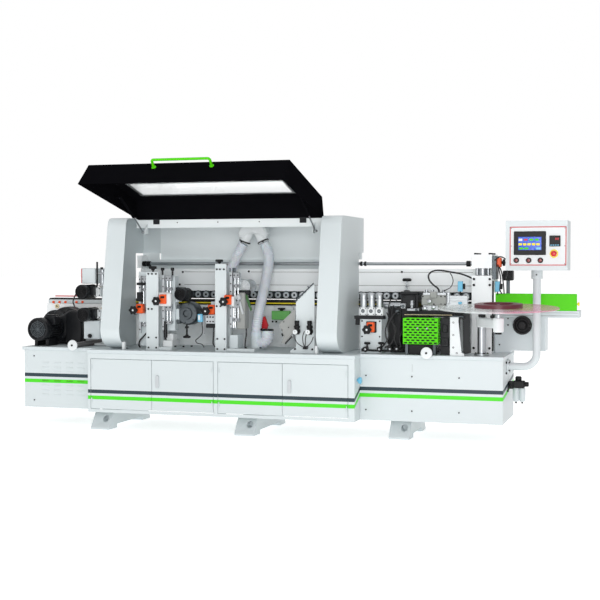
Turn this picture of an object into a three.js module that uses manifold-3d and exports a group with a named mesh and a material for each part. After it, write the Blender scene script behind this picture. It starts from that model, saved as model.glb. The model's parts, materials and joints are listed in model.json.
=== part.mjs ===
// Edge banding machine, drawn in millimetres with +Z up.
// Drawing axes: X from the left end of the base, Y from the front of the main cabinet towards the back.
// The finished group is moved so that its origin is the centre of its box on the floor.
import * as THREE from 'three';
import { mergeVertices } from 'three/addons/utils/BufferGeometryUtils.js';
import Module from 'manifold-3d';

const wasm = await Module();
wasm.setup();

// ---- driving dimensions ----
const gap = 0.3;              // left between touching pieces
const machineLength = 3600;
const machineDepth = 730;
const mainLeft = 606;         // main cabinet, left and right ends
const mainRight = 2615;
const recess = 150;           // the end cabinets stand this far back
const cabinetBottom = 127;
const cabinetTop = 557;
const cabinetWall = 5;
const bedTop = 583;
const bedOverhang = 4;
const footWidth = 147;
const footCentres = [700, 1815, 2891];
const doorThickness = 16;
const doorSpans = [[631, 1111], [1114, 1584], [1621, 2096], [2099, 2567]];
const doorBottom = 153;
const doorTop = 515;
const doorClearance = 3;
const latchCentres = [[1157, 362], [2150, 357]];
const hoodLeft = 700;
const hoodRight = 2485;
const hoodBand = 150;         // width of each wing's front and top band
const hoodBack = 770;
const hoodTop = 1545;
const hoodSheet = 4;
const hoodNotch = { y: 625, z: 1290 };
const lidEnds = [872, 2308];
const lidSheet = 3;
const lidHinge = [313, 1533];
const lidOutline = [[-650, 1740], [-490, 1879], [270, 1680], lidHinge];
const windowSpan = { x: [987, 2126], y: [-90, 145] };
const strutCentres = [925, 2255];
const strutTop = [-100, 1680];     // on the lid
const strutFoot = [280, 1440];     // on the hood
const trackFront = 637;
const trackBack = 735;
const railTop = 895;
const chainTop = 938;
const beamFront = 645;
const beamBack = 745;
const beamBottom = 1003;
const beamTop = 1170;
const shaftAxis = [655, 1208];
const headSpans = [[708, 745], [3340, 3482]];
const columnDepth = [450, 550];
const columnTop = 1125;
const headHeight = [1176, 1272];
const coilHub = [3588, 0];
const coilRadius = 393;
const coilTilt = 2.4;         // degrees, front edge lower
const coilHeight = 881;
const poleAxis = [3797, 372];
const poleRadius = 26.5;
const boxSpan = { x: [3613, 4016], y: [150, 400], z: [1163, 1493] };
const buttonHole = 9;

// ---- materials ----
const paint = (color, roughness = 0.5, metalness = 0) =>
  new THREE.MeshStandardMaterial({ color, roughness, metalness });
const white = paint(0xe9eeee);
const lightGrey = paint(0xc9d2d4);
const black = paint(0x15171a, 0.6);
const darkSteel = paint(0x3a4247, 0.5, 0.6);
const steel = paint(0x9aa2a6, 0.35, 0.9);
const green = paint(0x55d400, 0.45);
const red = paint(0xb01020, 0.35);
const clear = paint(0xd9e4ea, 0.2);
const chrome = paint(0xd0d4d8, 0.1, 1);
const hoseGrey = paint(0xb9c8dc, 0.5);
const burgundy = paint(0x6d1a2c, 0.5);

// ---- making and joining solids ----
function solid(geometry) {
  geometry.deleteAttribute('normal');
  geometry.deleteAttribute('uv');
  const merged = mergeVertices(geometry, 1e-4);
  return new wasm.Manifold(new wasm.Mesh({
    numProp: 3,
    vertProperties: new Float32Array(merged.attributes.position.array),
    triVerts: new Uint32Array(merged.index.array),
  }));
}

function block(x0, x1, y0, y1, z0, z1) {
  const geometry = new THREE.BoxGeometry(x1 - x0, y1 - y0, z1 - z0);
  return solid(geometry.translate((x0 + x1) / 2, (y0 + y1) / 2, (z0 + z1) / 2));
}

// A round bar from point p to point q.
function bar(p, q, radius, sides = 28) {
  const from = new THREE.Vector3(...p);
  const run = new THREE.Vector3(...q).sub(from);
  const geometry = new THREE.CylinderGeometry(radius, radius, run.length(), sides);
  const turn = new THREE.Quaternion().setFromUnitVectors(new THREE.Vector3(0, 1, 0), run.clone().normalize());
  geometry.applyQuaternion(turn);
  return solid(geometry.translate(...from.addScaledVector(run, 0.5)));
}

const barX = (y, z, radius, x0, x1, sides) => bar([x0, y, z], [x1, y, z], radius, sides);
const barY = (x, z, radius, y0, y1, sides) => bar([x, y0, z], [x, y1, z], radius, sides);
const barZ = (x, y, radius, z0, z1, sides) => bar([x, y, z0], [x, y, z1], radius, sides);

function outlineShape(points) {
  return new THREE.Shape(points.map(([u, v]) => new THREE.Vector2(u, v)));
}

function extruded(shape, length, u, v, w, start) {
  const geometry = new THREE.ExtrudeGeometry(shape, { depth: length, bevelEnabled: false, curveSegments: 8 });
  geometry.applyMatrix4(new THREE.Matrix4().makeBasis(u, v, w));
  return solid(geometry.translate(start.x, start.y, start.z));
}

const axisX = new THREE.Vector3(1, 0, 0);
const axisY = new THREE.Vector3(0, 1, 0);
const axisZ = new THREE.Vector3(0, 0, 1);

// An outline of (Y, Z) points carried along X, of (X, Z) points along Y, or of (X, Y) points along Z.
const slabX = (points, x0, x1) =>
  extruded(outlineShape(points), x1 - x0, axisY, axisZ, axisX, new THREE.Vector3(x0, 0, 0));
const slabY = (points, y0, y1) =>
  extruded(outlineShape(points), y1 - y0, axisX, axisZ, axisY.clone().negate(), new THREE.Vector3(0, y1, 0));
const slabZ = (points, z0, z1) =>
  extruded(outlineShape(points), z1 - z0, axisX, axisY, axisZ, new THREE.Vector3(0, 0, z0));

// A round section carried along a smooth curve through the points.
function hose(points, radius, sides, steps) {
  const section = new THREE.Shape();
  section.absarc(0, 0, radius, 0, Math.PI * 2, false);
  const ring = new THREE.Shape(section.getPoints(sides).slice(0, sides));
  const path = new THREE.CatmullRomCurve3(points.map((p) => new THREE.Vector3(...p)), false, 'centripetal');
  return solid(new THREE.ExtrudeGeometry(ring, { steps, extrudePath: path, bevelEnabled: false }));
}

const joined = (...solids) => solids.reduce((whole, next) => whole.add(next));

// Moves each edge of a closed outline inwards by its own distance.
function insetOutline(points, distances) {
  const lines = points.map(([u, v], i) => {
    const [u2, v2] = points[(i + 1) % points.length];
    const length = Math.hypot(u2 - u, v2 - v);
    const normal = [(v2 - v) / length, -(u2 - u) / length];
    return { normal, offset: normal[0] * u + normal[1] * v + distances[i] };
  });
  return lines.map((line, i) => {
    const before = lines[(i + lines.length - 1) % lines.length];
    const cross = before.normal[0] * line.normal[1] - before.normal[1] * line.normal[0];
    return [
      (before.offset * line.normal[1] - line.offset * before.normal[1]) / cross,
      (before.normal[0] * line.offset - line.normal[0] * before.offset) / cross,
    ];
  });
}

const group = new THREE.Group();

function addPart(name, body, material) {
  const { vertProperties, triVerts } = body.getMesh();
  const geometry = new THREE.BufferGeometry();
  geometry.setAttribute('position', new THREE.BufferAttribute(new Float32Array(vertProperties), 3));
  geometry.setIndex(new THREE.BufferAttribute(new Uint32Array(triVerts), 1));
  geometry.computeVertexNormals();
  const mesh = new THREE.Mesh(geometry, material);
  mesh.name = name;
  group.add(mesh);
}

// ---- base ----
// A sheet-steel shell, open underneath.
function shell(x0, x1, y0) {
  const outer = block(x0, x1, y0, machineDepth, cabinetBottom, cabinetTop);
  return outer.subtract(block(x0 + cabinetWall, x1 - cabinetWall, y0 + cabinetWall, machineDepth - cabinetWall,
    cabinetBottom - 1, cabinetTop - cabinetWall));
}

function mainCabinet() {
  let body = shell(mainLeft, mainRight, 0);
  const middle = (doorSpans[1][1] + doorSpans[2][0]) / 2;
  body = body.add(block(middle - 12, middle + 12, 1, machineDepth - 1, cabinetBottom, cabinetTop - 1));
  for (const pair of [0, 2]) {
    body = body.subtract(block(doorSpans[pair][0] - doorClearance, doorSpans[pair + 1][1] + doorClearance,
      -1, cabinetWall + 1, doorBottom - doorClearance, doorTop + doorClearance));
  }
  return body;
}

function bedPlate() {
  const left = -18;
  const right = machineLength + bedOverhang;
  const front = -bedOverhang;
  const back = machineDepth + bedOverhang;
  return slabZ([[left, recess + front], [mainLeft + front, recess + front], [mainLeft + front, front],
    [mainRight - front, front], [mainRight - front, recess + front], [right, recess + front],
    [right, back], [left, back]], cabinetTop + gap, bedTop);
}

// A cross beam with a pad at each end and a sloped nose bored for the anchor bolt.
function footBeam(centre, front) {
  const padLength = 140;
  const padHeight = 28;
  const slope = 85;
  const top = cabinetBottom - gap;
  const back = machineDepth;
  const outline = [[front, 0], [front + padLength, 0], [front + padLength, padHeight],
    [back - padLength, padHeight], [back - padLength, 0], [back, 0], [back, 14], [back - slope, top],
    [front + slope, top], [front, 14]];
  const boreRadius = 23;
  const boreHeight = 76;
  return slabX(outline, centre - footWidth / 2, centre + footWidth / 2)
    .subtract(barY(centre + 28, boreHeight, boreRadius, front - 1, front + 110));
}

function door([x0, x1]) {
  return block(x0, x1, 0, doorThickness, doorBottom, doorTop);
}

// A pill-shaped swing latch in front of its door.
function doorLatch([x, z]) {
  const halfWidth = 13;
  const halfHeight = 34;
  const plate = block(x - halfWidth, x + halfWidth, -9, -gap, z - halfHeight, z + halfHeight);
  const ends = [z - halfHeight, z + halfHeight].map((height) => barY(x, height, halfWidth, -9, -gap, 24));
  return joined(plate, ...ends);
}

// ---- hood and lid ----
const wingOutline = [[200, bedTop + gap], [625, bedTop + gap], [625, hoodNotch.z], [hoodBack, hoodNotch.z],
  [hoodBack, hoodTop], [205, hoodTop], [172, 1538], [150, 1515], [140, 1480], [15, 740], [17, 705], [28, 672],
  [48, 645], [80, 620], [120, 601], [165, 590]];

// One outer side plate with a wide band folded along its front, top and back.
function hoodWing(plateLeft, bandSide) {
  const x0 = bandSide > 0 ? plateLeft : plateLeft - hoodBand;
  const x1 = x0 + hoodBand;
  const back = hoodBack - hoodSheet;
  const top = hoodTop - hoodSheet;
  const inner = [[206, bedTop - 1], [back, bedTop - 1], [back, top], [206, top], [175, 1534.5], [153.5, 1513],
    [144, 1479], [19.5, 741], [21.3, 706], [32, 674.5], [51.5, 648.5], [82.5, 624.3], [121.8, 605.4],
    [165.8, 594.5], [206, 588]];
  const cut = bandSide > 0 ? [x0 + hoodSheet, x1 + 1] : [x0 - 1, x1 - hoodSheet];
  return slabX(wingOutline, x0, x1).subtract(slabX(inner, ...cut));
}

// Top sheet with a front flange, a back wall and the two lugs that hold the gas struts.
function hoodTopSheet() {
  const flangeFront = 322;
  const flangeDepth = 72;
  const wallBottom = 1240;
  const outline = [[flangeFront, hoodTop - flangeDepth], [flangeFront + hoodSheet, hoodTop - flangeDepth],
    [flangeFront + hoodSheet, hoodTop - hoodSheet], [hoodBack - hoodSheet, hoodTop - hoodSheet],
    [hoodBack - hoodSheet, wallBottom], [hoodBack, wallBottom], [hoodBack, hoodTop], [flangeFront, hoodTop]];
  let sheet = slabX(outline, hoodLeft + hoodBand + gap, hoodRight - hoodBand - gap);
  for (const [centre, side] of [[strutCentres[0], 1], [strutCentres[1], -1]]) {
    const near = centre + side * 14;
    const far = centre + side * 20;
    const lug = slabX([[strutFoot[0] - 14, strutFoot[1] - 14], [flangeFront + 2, strutFoot[1] - 14],
      [flangeFront + 2, 1500], [flangeFront - 12, 1500], [strutFoot[0] - 14, strutFoot[1] + 14]],
    Math.min(near, far), Math.max(near, far));
    const tab = block(Math.min(near, far), Math.max(near, far), flangeFront - 2, flangeFront + 2, 1430, 1500);
    sheet = sheet.add(lug).add(tab);
  }
  return sheet;
}

function lidShell() {
  const inner = insetOutline(lidOutline, [lidSheet, lidSheet, lidSheet, -6]);
  let lid = slabX(lidOutline, ...lidEnds);
  lid = lid.subtract(slabX(inner, lidEnds[0] + lidSheet, lidEnds[1] - lidSheet));
  lid = lid.subtract(block(...windowSpan.x, ...windowSpan.y, 1650, 1900));
  const stud = 5;
  return joined(lid,
    barX(...strutTop, stud, lidEnds[0] + 1, strutCentres[0] - 11.5, 16),
    barX(...strutTop, stud, strutCentres[1] + 11.5, lidEnds[1] - 1, 16));
}

// The pane lies under the lid's main panel and laps its cut-out all round.
function lidWindow() {
  const [, corner, knee] = lidOutline;
  const length = Math.hypot(knee[0] - corner[0], knee[1] - corner[1]);
  const along = [(knee[0] - corner[0]) / length, (knee[1] - corner[1]) / length];
  const down = [along[1], -along[0]];
  const lap = 20;
  const pane = 4;
  const s = windowSpan.y.map((y, i) => (y - corner[0]) / along[0] + (i ? lap : -lap));
  const at = (run, drop) => corner.map((start, i) => start + along[i] * run + down[i] * drop);
  const near = lidSheet + gap;
  return slabX([at(s[0], near), at(s[0], near + pane), at(s[1], near + pane), at(s[1], near)],
    windowSpan.x[0] - lap, windowSpan.x[1] + lap);
}

function lidHandle() {
  const outwards = [-0.656, 0.755];
  const feet = [1373, 1785];
  const foot = [-528, 1846];
  const reach = 62;
  const radius = 10;
  const at = (distance) => [foot[0] + outwards[0] * distance, foot[1] + outwards[1] * distance];
  const posts = feet.map((x) => bar([x, ...at(gap + 0.6)], [x, ...at(reach)], radius, 20));
  return joined(...posts, barX(...at(reach), radius, feet[0] - radius, feet[1] + radius, 20));
}

const strutRun = [strutFoot[0] - strutTop[0], strutFoot[1] - strutTop[1]];
const strutLength = Math.hypot(...strutRun);
const onStrut = (x, s) => [x, ...strutTop.map((start, i) => start + strutRun[i] * s / strutLength)];

function strutCylinder(x) {
  return joined(bar(onStrut(x, 0), onStrut(x, 250), 11, 20), barX(...strutTop, 10, x - 11, x + 11, 20))
    .subtract(bar(onStrut(x, 20), onStrut(x, 251), 7, 16));
}

function strutRod(x) {
  return joined(bar(onStrut(x, 150), onStrut(x, strutLength), 5, 16), barX(...strutFoot, 9, x - 9, x + 9, 20));
}

// ---- feed ----
function trackBeam() {
  const rail = block(-80, 3480, trackFront, trackBack, 820, railTop)
    .subtract(block(-81, 3481, trackFront + 12, trackBack + 1, 832, railTop - 12));
  const web = block(60, 3480, 690, 710, bedTop + gap, 833);
  const sole = block(60, 3480, 670, 730, bedTop + gap, bedTop + 14);
  return joined(rail, web, sole);
}

// Box beam with the roller rail under it and the two lifting heads on it.
function pressureBeam() {
  const left = 735;
  const right = 3482;
  const wall = 6;
  let beam = block(left, right, beamFront, beamBack, beamBottom, beamTop)
    .subtract(block(left - 1, right + 1, beamFront + wall, beamBack - wall, beamBottom + wall,
      beamTop - wall));
  beam = beam.add(block(900, 3320, 672, 720, 958, beamBottom + 1));
  for (const [x0, x1] of headSpans) {
    const headFront = x0 < left ? 640 : 440;
    beam = beam.add(block(x0, x1, headFront, beamBack, ...headHeight));
    beam = beam.add(block(Math.max(x0, left), x1, beamFront + 10, beamBack - 10, beamTop - 1,
      headHeight[0] + 1));
  }
  return beam;
}

// A square column, hollow from the top, that the lifting head slides on.
function liftColumn([x0, x1]) {
  const [y0, y1] = columnDepth;
  const wall = 8;
  const base = block(x0 - 8, x1 + 1, y0 - 12, y1 + 8, bedTop + gap, bedTop + 14);
  return joined(block(x0, x1, y0, y1, bedTop + gap, columnTop), base)
    .subtract(block(x0 + wall, x1 - wall, y0 + wall, y1 - wall, 620, columnTop + 1));
}

// ---- trimming units ----
// An upright front plate with a side cheek, a foot and a guide for its motor slide.
function trimFrame(x0, x1, top, footRight) {
  const front = 112;
  const thickness = 14;
  const back = 330;
  return joined(block(x0, x1, front, front + thickness, bedTop + gap, top),
    block(x0, x0 + thickness, front, back, bedTop + gap, top - 40),
    block(x0, footRight, front + thickness - 1, back, bedTop + gap, 603),
    block(x0 + 1, x1, 205, 255, 602, top - 60));
}

function trimHead1() {
  return joined(block(1122, 1218, 170, 290, 720, 1120), barY(1298, 847, 84, 190, 330, 36),
    barY(1240, 985, 48, 180, 320, 28), barZ(1290, 215, 9, 680, 770, 16), barZ(1290, 215, 26, 668, 684, 20));
}

function trimHead2() {
  return joined(block(1650, 1722, 170, 290, 745, 1100), barY(1745, 1040, 52, 180, 330, 28),
    block(1700, 1762, 180, 260, 760, 1000));
}

function guardPlate() {
  const left = 2123;
  const right = 2301;         // clear of the shut lid's side
  const plate = slabY([[left, bedTop + gap], [right, bedTop + gap], [right, 1069], [2166, 941], [2166, 626],
    [left, 600]], 100, 104);
  return plate.add(block(left, right, 103, 150, bedTop + gap, bedTop + 12));
}

// ---- glue, tape and pressing units ----
function gluePot() {
  return joined(block(2853, 2974, 380, 560, 700, 1009), block(2775, 2990, 400, 560, bedTop + gap, 701),
    block(2770, 2860, 340, 520, 640, 930));
}

function tapeMagazine() {
  return joined(block(3010, 3172, 380, 500, 885, 1005), block(3015, 3062, 400, 480, bedTop + gap, 886),
    block(3160, 3320, 400, 440, 900, 985));
}

// A folded guard, open at the back and underneath, on two legs.
function glueGuard() {
  const sheet = 3;
  const cover = block(2911, 3154, 180, 320, 657, 835)
    .subtract(block(2911 + sheet, 3154 - sheet, 180 + sheet, 321, 656, 835 - sheet));
  return joined(cover, ...[2926, 3118].map((x) => block(x, x + 20, 182, 190, bedTop + gap, 760)));
}

function pressUnit() {
  const stations = [2614, 2671, 2729];
  return joined(block(2596, 2747, 250, 262, bedTop + gap, 822), block(2555, 2757, 235, 300, 821, 846),
    block(2600, 2740, 262 - 1, 400, bedTop + gap, 603),
    ...stations.map((x) => block(x - 24, x + 24, 240, 290, 845, 902)),
    ...stations.map((x) => barZ(x, 265, 23, 901, 1003, 24)));
}

function cutterUnit() {
  return joined(block(3158, 3224, 250, 420, bedTop + gap, 835), block(3239, 3306, 170, 182, bedTop + gap, 846),
    block(3239, 3331, 170, 230, 834, 846), block(3222, 3252, 240, 262, 600, 760),
    block(3239, 3252, 181, 262, 600, 760));
}

// ---- tape coil stand ----
function coilPost() {
  const [hx, hy] = coilHub;
  const post = [3440, 260];
  const run = new THREE.Vector2(hx - post[0], hy - post[1]);
  const side = new THREE.Vector2(-run.y, run.x).setLength(38);
  const corners = [[post[0] - side.x, post[1] - side.y], [hx - side.x, hy - side.y],
    [hx + side.x, hy + side.y], [post[0] + side.x, post[1] + side.y]];
  const arm = slabZ(corners, 778, 846);
  return joined(barZ(...post, 52, bedTop + gap, 597, 28), barZ(...post, 29, 590, 779, 28),
    barZ(...post, 38, 777, 852, 28), arm, barZ(...coilHub, 46, 735, coilHeight - 6, 32));
}

// Both coil pieces are drawn about the hub and tilted together.
function tilted(body) {
  return body.rotate([coilTilt, 0, 0]).translate([coilHub[0], coilHub[1], coilHeight]);
}

const coilPlate = () => tilted(joined(barZ(0, 0, coilRadius, 31, 39, 72), barZ(0, 0, 30, -2, 32, 24),
  barZ(0, 0, 22, 38, 74, 24)));

const tapeCoil = () => tilted(barZ(0, 0, 157, 39 + gap, 65, 48).subtract(barZ(0, 0, 98, 39, 66, 40)));

// ---- infeed ----
function infeedHousing() {
  const left = 3484;
  const right = 3838;
  const wall = 8;
  const casing = joined(block(left, right, 560, trackBack, 600, 835),
    block(left, machineLength, 560, trackBack, bedTop + gap, 601));
  const inside = block(left + wall, right - wall, 560 + wall, trackBack + 1, 600 + wall, 835 - wall);
  const table = block(left, 4068, 545, trackBack, 834, 882);
  return joined(casing.subtract(inside), table);
}

function handwheel() {
  const profile = [[0, 0], [16, 0], [16, 28], [46, 34], [56, 28], [66, 32], [66, 48], [52, 50], [40, 44],
    [0, 44]];
  const geometry = new THREE.LatheGeometry(profile.map(([r, h]) => new THREE.Vector2(r, h)), 40);
  geometry.rotateX(Math.PI);
  const wheel = solid(geometry.translate(3686, 532, 782));
  return wheel.add(barY(3686, 782, 12, 530, 560 - gap, 20)).add(barY(3686 + 50, 782, 8, 450, 490, 16));
}

// ---- control stand ----
function controlPole() {
  const [px, py] = poleAxis;
  const pipeHeight = 505;
  const bend = 70;
  const path = new THREE.CurvePath();
  const corner = new THREE.Vector3(px, py, pipeHeight);
  const bendStart = corner.clone().add(new THREE.Vector3(-bend, 0, 0));
  const bendEnd = corner.clone().add(new THREE.Vector3(0, 0, bend));
  path.add(new THREE.LineCurve3(new THREE.Vector3(machineLength + gap, py, pipeHeight), bendStart));
  path.add(new THREE.QuadraticBezierCurve3(bendStart, corner, bendEnd));
  path.add(new THREE.LineCurve3(bendEnd, new THREE.Vector3(px, py, 1130)));
  const section = new THREE.Shape();
  section.absarc(0, 0, poleRadius, 0, Math.PI * 2, false);
  const ring = new THREE.Shape(section.getPoints(24).slice(0, 24));
  const pipe = solid(new THREE.ExtrudeGeometry(ring, { steps: 14, extrudePath: path, bevelEnabled: false }));
  return joined(pipe, barX(py, pipeHeight, 50, machineLength + gap, machineLength + 12, 28),
    barZ(px, py, 38, 1105, boxSpan.z[0] - 1, 28));
}

const buttonPlaces = [[3684, 1230], [3765, 1230], [3841, 1230]];
const stopPlace = [3929, 1274];

function controlBox() {
  const wall = 3;
  const inside = (span) => [span[0] + wall, span[1] - wall];
  let box = block(...boxSpan.x, ...boxSpan.y, ...boxSpan.z);
  box = box.subtract(block(...inside(boxSpan.x), ...inside(boxSpan.y), ...inside(boxSpan.z)));
  box = box.subtract(barZ(...poleAxis, 14, boxSpan.z[0] - 1, boxSpan.z[0] + wall + 1, 16));
  for (const [x, z] of [...buttonPlaces, stopPlace]) {
    box = box.subtract(barY(x, z, buttonHole, boxSpan.y[0] - 1, boxSpan.y[0] + 34, 20));
  }
  return box;
}

// A push button: its cap stands clear of the panel and its stem runs in the panel's hole.
function pushButton([x, z], capRadius, capLength, travel) {
  const panel = boxSpan.y[0];
  return joined(barY(x, z, capRadius, panel - travel - capLength, panel - travel, 28),
    barY(x, z, buttonHole - 1, panel - travel - 1, panel + 20, 20));
}

// ---- air, dust and cable ----
function airUnit() {
  return joined(block(machineLength + gap, 3640, 420, 460, 330, 400), block(3625, 3712, 405, 475, 340, 415),
    barZ(3650, 440, 26, 250, 345, 24), barZ(3694, 440, 26, 258, 345, 24));
}

const manifoldCentre = [1680, 600];
const spoutEnds = [[1606, 600, 1366], [1758, 600, 1366]];

function dustManifold() {
  const [x, y] = manifoldCentre;
  return joined(barZ(x, y, 78, 1440, hoodTop - hoodSheet - gap, 32),
    ...spoutEnds.map((end) => bar([x, y, 1470], end, 42, 28)));
}

const hoseRadius = 38;
const leftHoseRoute = [[1601, 600, 1359], [1586, 600, 1337], [1560, 592, 1285], [1530, 570, 1205],
  [1505, 530, 1125], [1492, 475, 1045], [1488, 424, 995], [1488, 398, 962], [1488, 395, 937]];
const rightHoseRoute = [[1763, 600, 1359], [1778, 600, 1337], [1800, 588, 1280], [1812, 555, 1205],
  [1814, 500, 1110], [1812, 435, 1005], [1809, 375, 905], [1806, 325, 815], [1804, 303, 750],
  [1804, 300, 695]];

// Chip ports that the two hoses end on.
function trimFrame2() {
  return joined(trimFrame(1558, 1642, 1206, 1850), block(1446, 1559, 318, 440, 780, 930),
    barZ(1804, 300, 42, 602, 690, 28));
}

const cableRoute = [[3334, 500, 1105], [3310, 490, 1118], [3262, 440, 1138], [3200, 410, 1150],
  [3140, 390, 1160], [3085, 380, 1158], [3052, 375, 1132], [3052, 380, 1098], [3078, 395, 1062],
  [3108, 412, 1036], [3116, 420, 1018], [3116, 420, 1006.5]];

// ---- drive and buffing ----
function driveMotor() {
  return joined(barY(95, 715, 90, 180, 444.7, 36), block(30, 160, 225, 400, bedTop + gap, 640));
}

function driveGearbox() {
  return joined(barY(100, 730, 125, 445, 468, 40), barY(170, 735, 140, 467, 600, 40),
    block(70, 270, 480, 600, bedTop + gap, 650));
}

function buffingUnit() {
  return joined(block(465, 535, 410, 470, bedTop + gap, 1060), block(456, 560, 400, 520, bedTop + gap, 600),
    barY(463, 996, 55, 200, 411, 28), barY(487, 828, 55, 200, 411, 28),
    barY(500, 996, 12, 469, 520, 16), barY(500, 996, 62, 519, 590, 28),
    barY(500, 828, 12, 469, 520, 16), barY(500, 828, 62, 519, 590, 28),
    block(420, 535, 250, 440, 1056, 1176));
}

// A round pull-out arm with a wide end cap.
function supportArm(x) {
  const height = bedTop + 20.5;
  return joined(barY(x, height, 19, 104, 620, 24), barY(x, height, 43, 88, 105, 28));
}

addPart('main_cabinet', mainCabinet(), white);
addPart('left_cabinet', shell(0, mainLeft - gap, recess), white);
addPart('right_cabinet', shell(mainRight + gap, machineLength, recess), white);
addPart('bed_plate', bedPlate(), lightGrey);
footCentres.forEach((x, i) => addPart(`foot_beam_${i + 1}`, footBeam(x, i === 2 ? recess : 0), lightGrey));
doorSpans.forEach((span, i) => addPart(`door_${i + 1}`, door(span), white));
latchCentres.forEach((place, i) => addPart(`door_latch_${i + 1}`, doorLatch(place), darkSteel));
addPart('hood_left_wing', hoodWing(hoodLeft, 1), white);
addPart('hood_right_wing', hoodWing(hoodRight, -1), white);
addPart('hood_top', hoodTopSheet(), lightGrey);
addPart('lid', lidShell(), black);
addPart('lid_window', lidWindow(), clear);
addPart('lid_handle', lidHandle(), green);
['left', 'right'].forEach((side, i) => {
  addPart(`strut_cylinder_${side}`, strutCylinder(strutCentres[i]), black);
  addPart(`strut_rod_${side}`, strutRod(strutCentres[i]), chrome);
});
addPart('track_beam', trackBeam(), white);
addPart('track_chain', block(-75, 3475, 642, 730, railTop + gap, chainTop), black);
addPart('pressure_beam', pressureBeam(), white);
addPart('lift_column', liftColumn(headSpans[1]), white);
addPart('sync_shaft', barX(...shaftAxis, 12, headSpans[0][1] + 2, headSpans[1][0] - 2, 20), steel);
addPart('trim_frame_1', trimFrame(1021, 1116, 1148, 1215), white);
addPart('trim_head_1', trimHead1(), darkSteel);
addPart('trim_frame_2', trimFrame2(), white);
addPart('trim_head_2', trimHead2(), darkSteel);
addPart('guard_plate', guardPlate(), white);
addPart('glue_pot', gluePot(), black);
addPart('glue_guard', glueGuard(), green);
addPart('tape_magazine', tapeMagazine(), steel);
addPart('press_unit', pressUnit(), steel);
addPart('cutter_unit', cutterUnit(), darkSteel);
addPart('coil_post', coilPost(), steel);
addPart('coil_plate', coilPlate(), clear);
addPart('tape_coil', tapeCoil(), burgundy);
addPart('infeed_housing', infeedHousing(), lightGrey);
addPart('handwheel', handwheel(), black);
addPart('infeed_fence', block(3492, 4050, 545, 575, 882 + gap, 1000), green);
addPart('control_pole', controlPole(), white);
addPart('control_box', controlBox(), white);
buttonPlaces.forEach((place, i) => addPart(`push_button_${i + 1}`, pushButton(place, 13, 9, 4), red));
addPart('emergency_stop', pushButton(stopPlace, 19, 18, 8), red);
addPart('air_unit', airUnit(), darkSteel);
addPart('dust_manifold', dustManifold(), lightGrey);
addPart('dust_hose_left', hose(leftHoseRoute, hoseRadius, 12, 20), hoseGrey);
addPart('dust_hose_right', hose(rightHoseRoute, hoseRadius, 12, 22), hoseGrey);
addPart('heater_cable', hose(cableRoute, 6, 8, 30), black);
addPart('drive_motor', driveMotor(), black);
addPart('drive_gearbox', driveGearbox(), black);
addPart('buffing_unit', buffingUnit(), darkSteel);
addPart('support_arm_left', supportArm(432), steel);
addPart('support_arm_right', supportArm(3091), steel);

// The origin is the centre of the whole object's box, on the floor.
const bounds = new THREE.Box3().setFromObject(group);
group.position.set(-(bounds.min.x + bounds.max.x) / 2, -(bounds.min.y + bounds.max.y) / 2, -bounds.min.z);

export default group;
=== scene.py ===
import json
import math

import bmesh
import bpy
import numpy as np
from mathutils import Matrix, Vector


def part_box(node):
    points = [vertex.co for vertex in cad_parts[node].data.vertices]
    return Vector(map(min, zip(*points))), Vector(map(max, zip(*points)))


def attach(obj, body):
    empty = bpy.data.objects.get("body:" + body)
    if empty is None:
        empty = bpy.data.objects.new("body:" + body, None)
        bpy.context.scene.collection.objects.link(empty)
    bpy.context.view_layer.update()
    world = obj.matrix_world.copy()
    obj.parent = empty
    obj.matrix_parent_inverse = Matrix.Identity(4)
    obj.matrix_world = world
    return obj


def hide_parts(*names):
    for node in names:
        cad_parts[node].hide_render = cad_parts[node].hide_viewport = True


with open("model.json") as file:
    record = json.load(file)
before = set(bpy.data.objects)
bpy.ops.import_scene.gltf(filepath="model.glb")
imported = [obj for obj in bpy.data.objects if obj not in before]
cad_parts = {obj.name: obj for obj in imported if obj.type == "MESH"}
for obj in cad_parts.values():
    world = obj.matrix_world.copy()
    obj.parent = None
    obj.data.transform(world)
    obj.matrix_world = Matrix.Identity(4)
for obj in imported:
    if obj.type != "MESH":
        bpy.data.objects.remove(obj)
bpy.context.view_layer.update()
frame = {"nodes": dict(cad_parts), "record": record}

bodyOf = {node: body for body, nodes in frame["record"]["behaviour"]["bodies"].items() for node in nodes}

# Places below are in millimetres from the left end of the base, the front of its main cabinet and the floor.
origin = np.array([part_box("left_cabinet")[0].x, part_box("main_cabinet")[0].y, 0.0])
mm = 0.001
bedLevel = 583.5   # fittings on the bed begin here, half a millimetre above it


# Drawing millimetres to row-frame metres.
def place(points):
    return np.asarray(points, float) * mm + origin


# Camera, light and floor
view = {"position": (2.659, -7.939, 1.204), "down": 1.709, "turn": 17.116, "lens": 71.86, "sensor": 36}
camera = bpy.data.objects.new("camera", bpy.data.cameras.new("camera"))
camera.location = view["position"]
camera.rotation_euler = (math.radians(90 - view["down"]), 0, math.radians(view["turn"]))
camera.data.lens = view["lens"]
camera.data.sensor_width = view["sensor"]
bpy.context.scene.collection.objects.link(camera)
bpy.context.scene.camera = camera
bpy.context.scene.view_settings.view_transform = "Standard"


def areaLight(name, position, target, size, power):
    lamp = bpy.data.lights.new(name, "AREA")
    lamp.shape, lamp.size, lamp.energy = "SQUARE", size, power
    holder = bpy.data.objects.new(name, lamp)
    holder.location = position
    holder.rotation_euler = (Vector(target) - Vector(position)).to_track_quat("-Z", "Y").to_euler()
    bpy.context.scene.collection.objects.link(holder)


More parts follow.
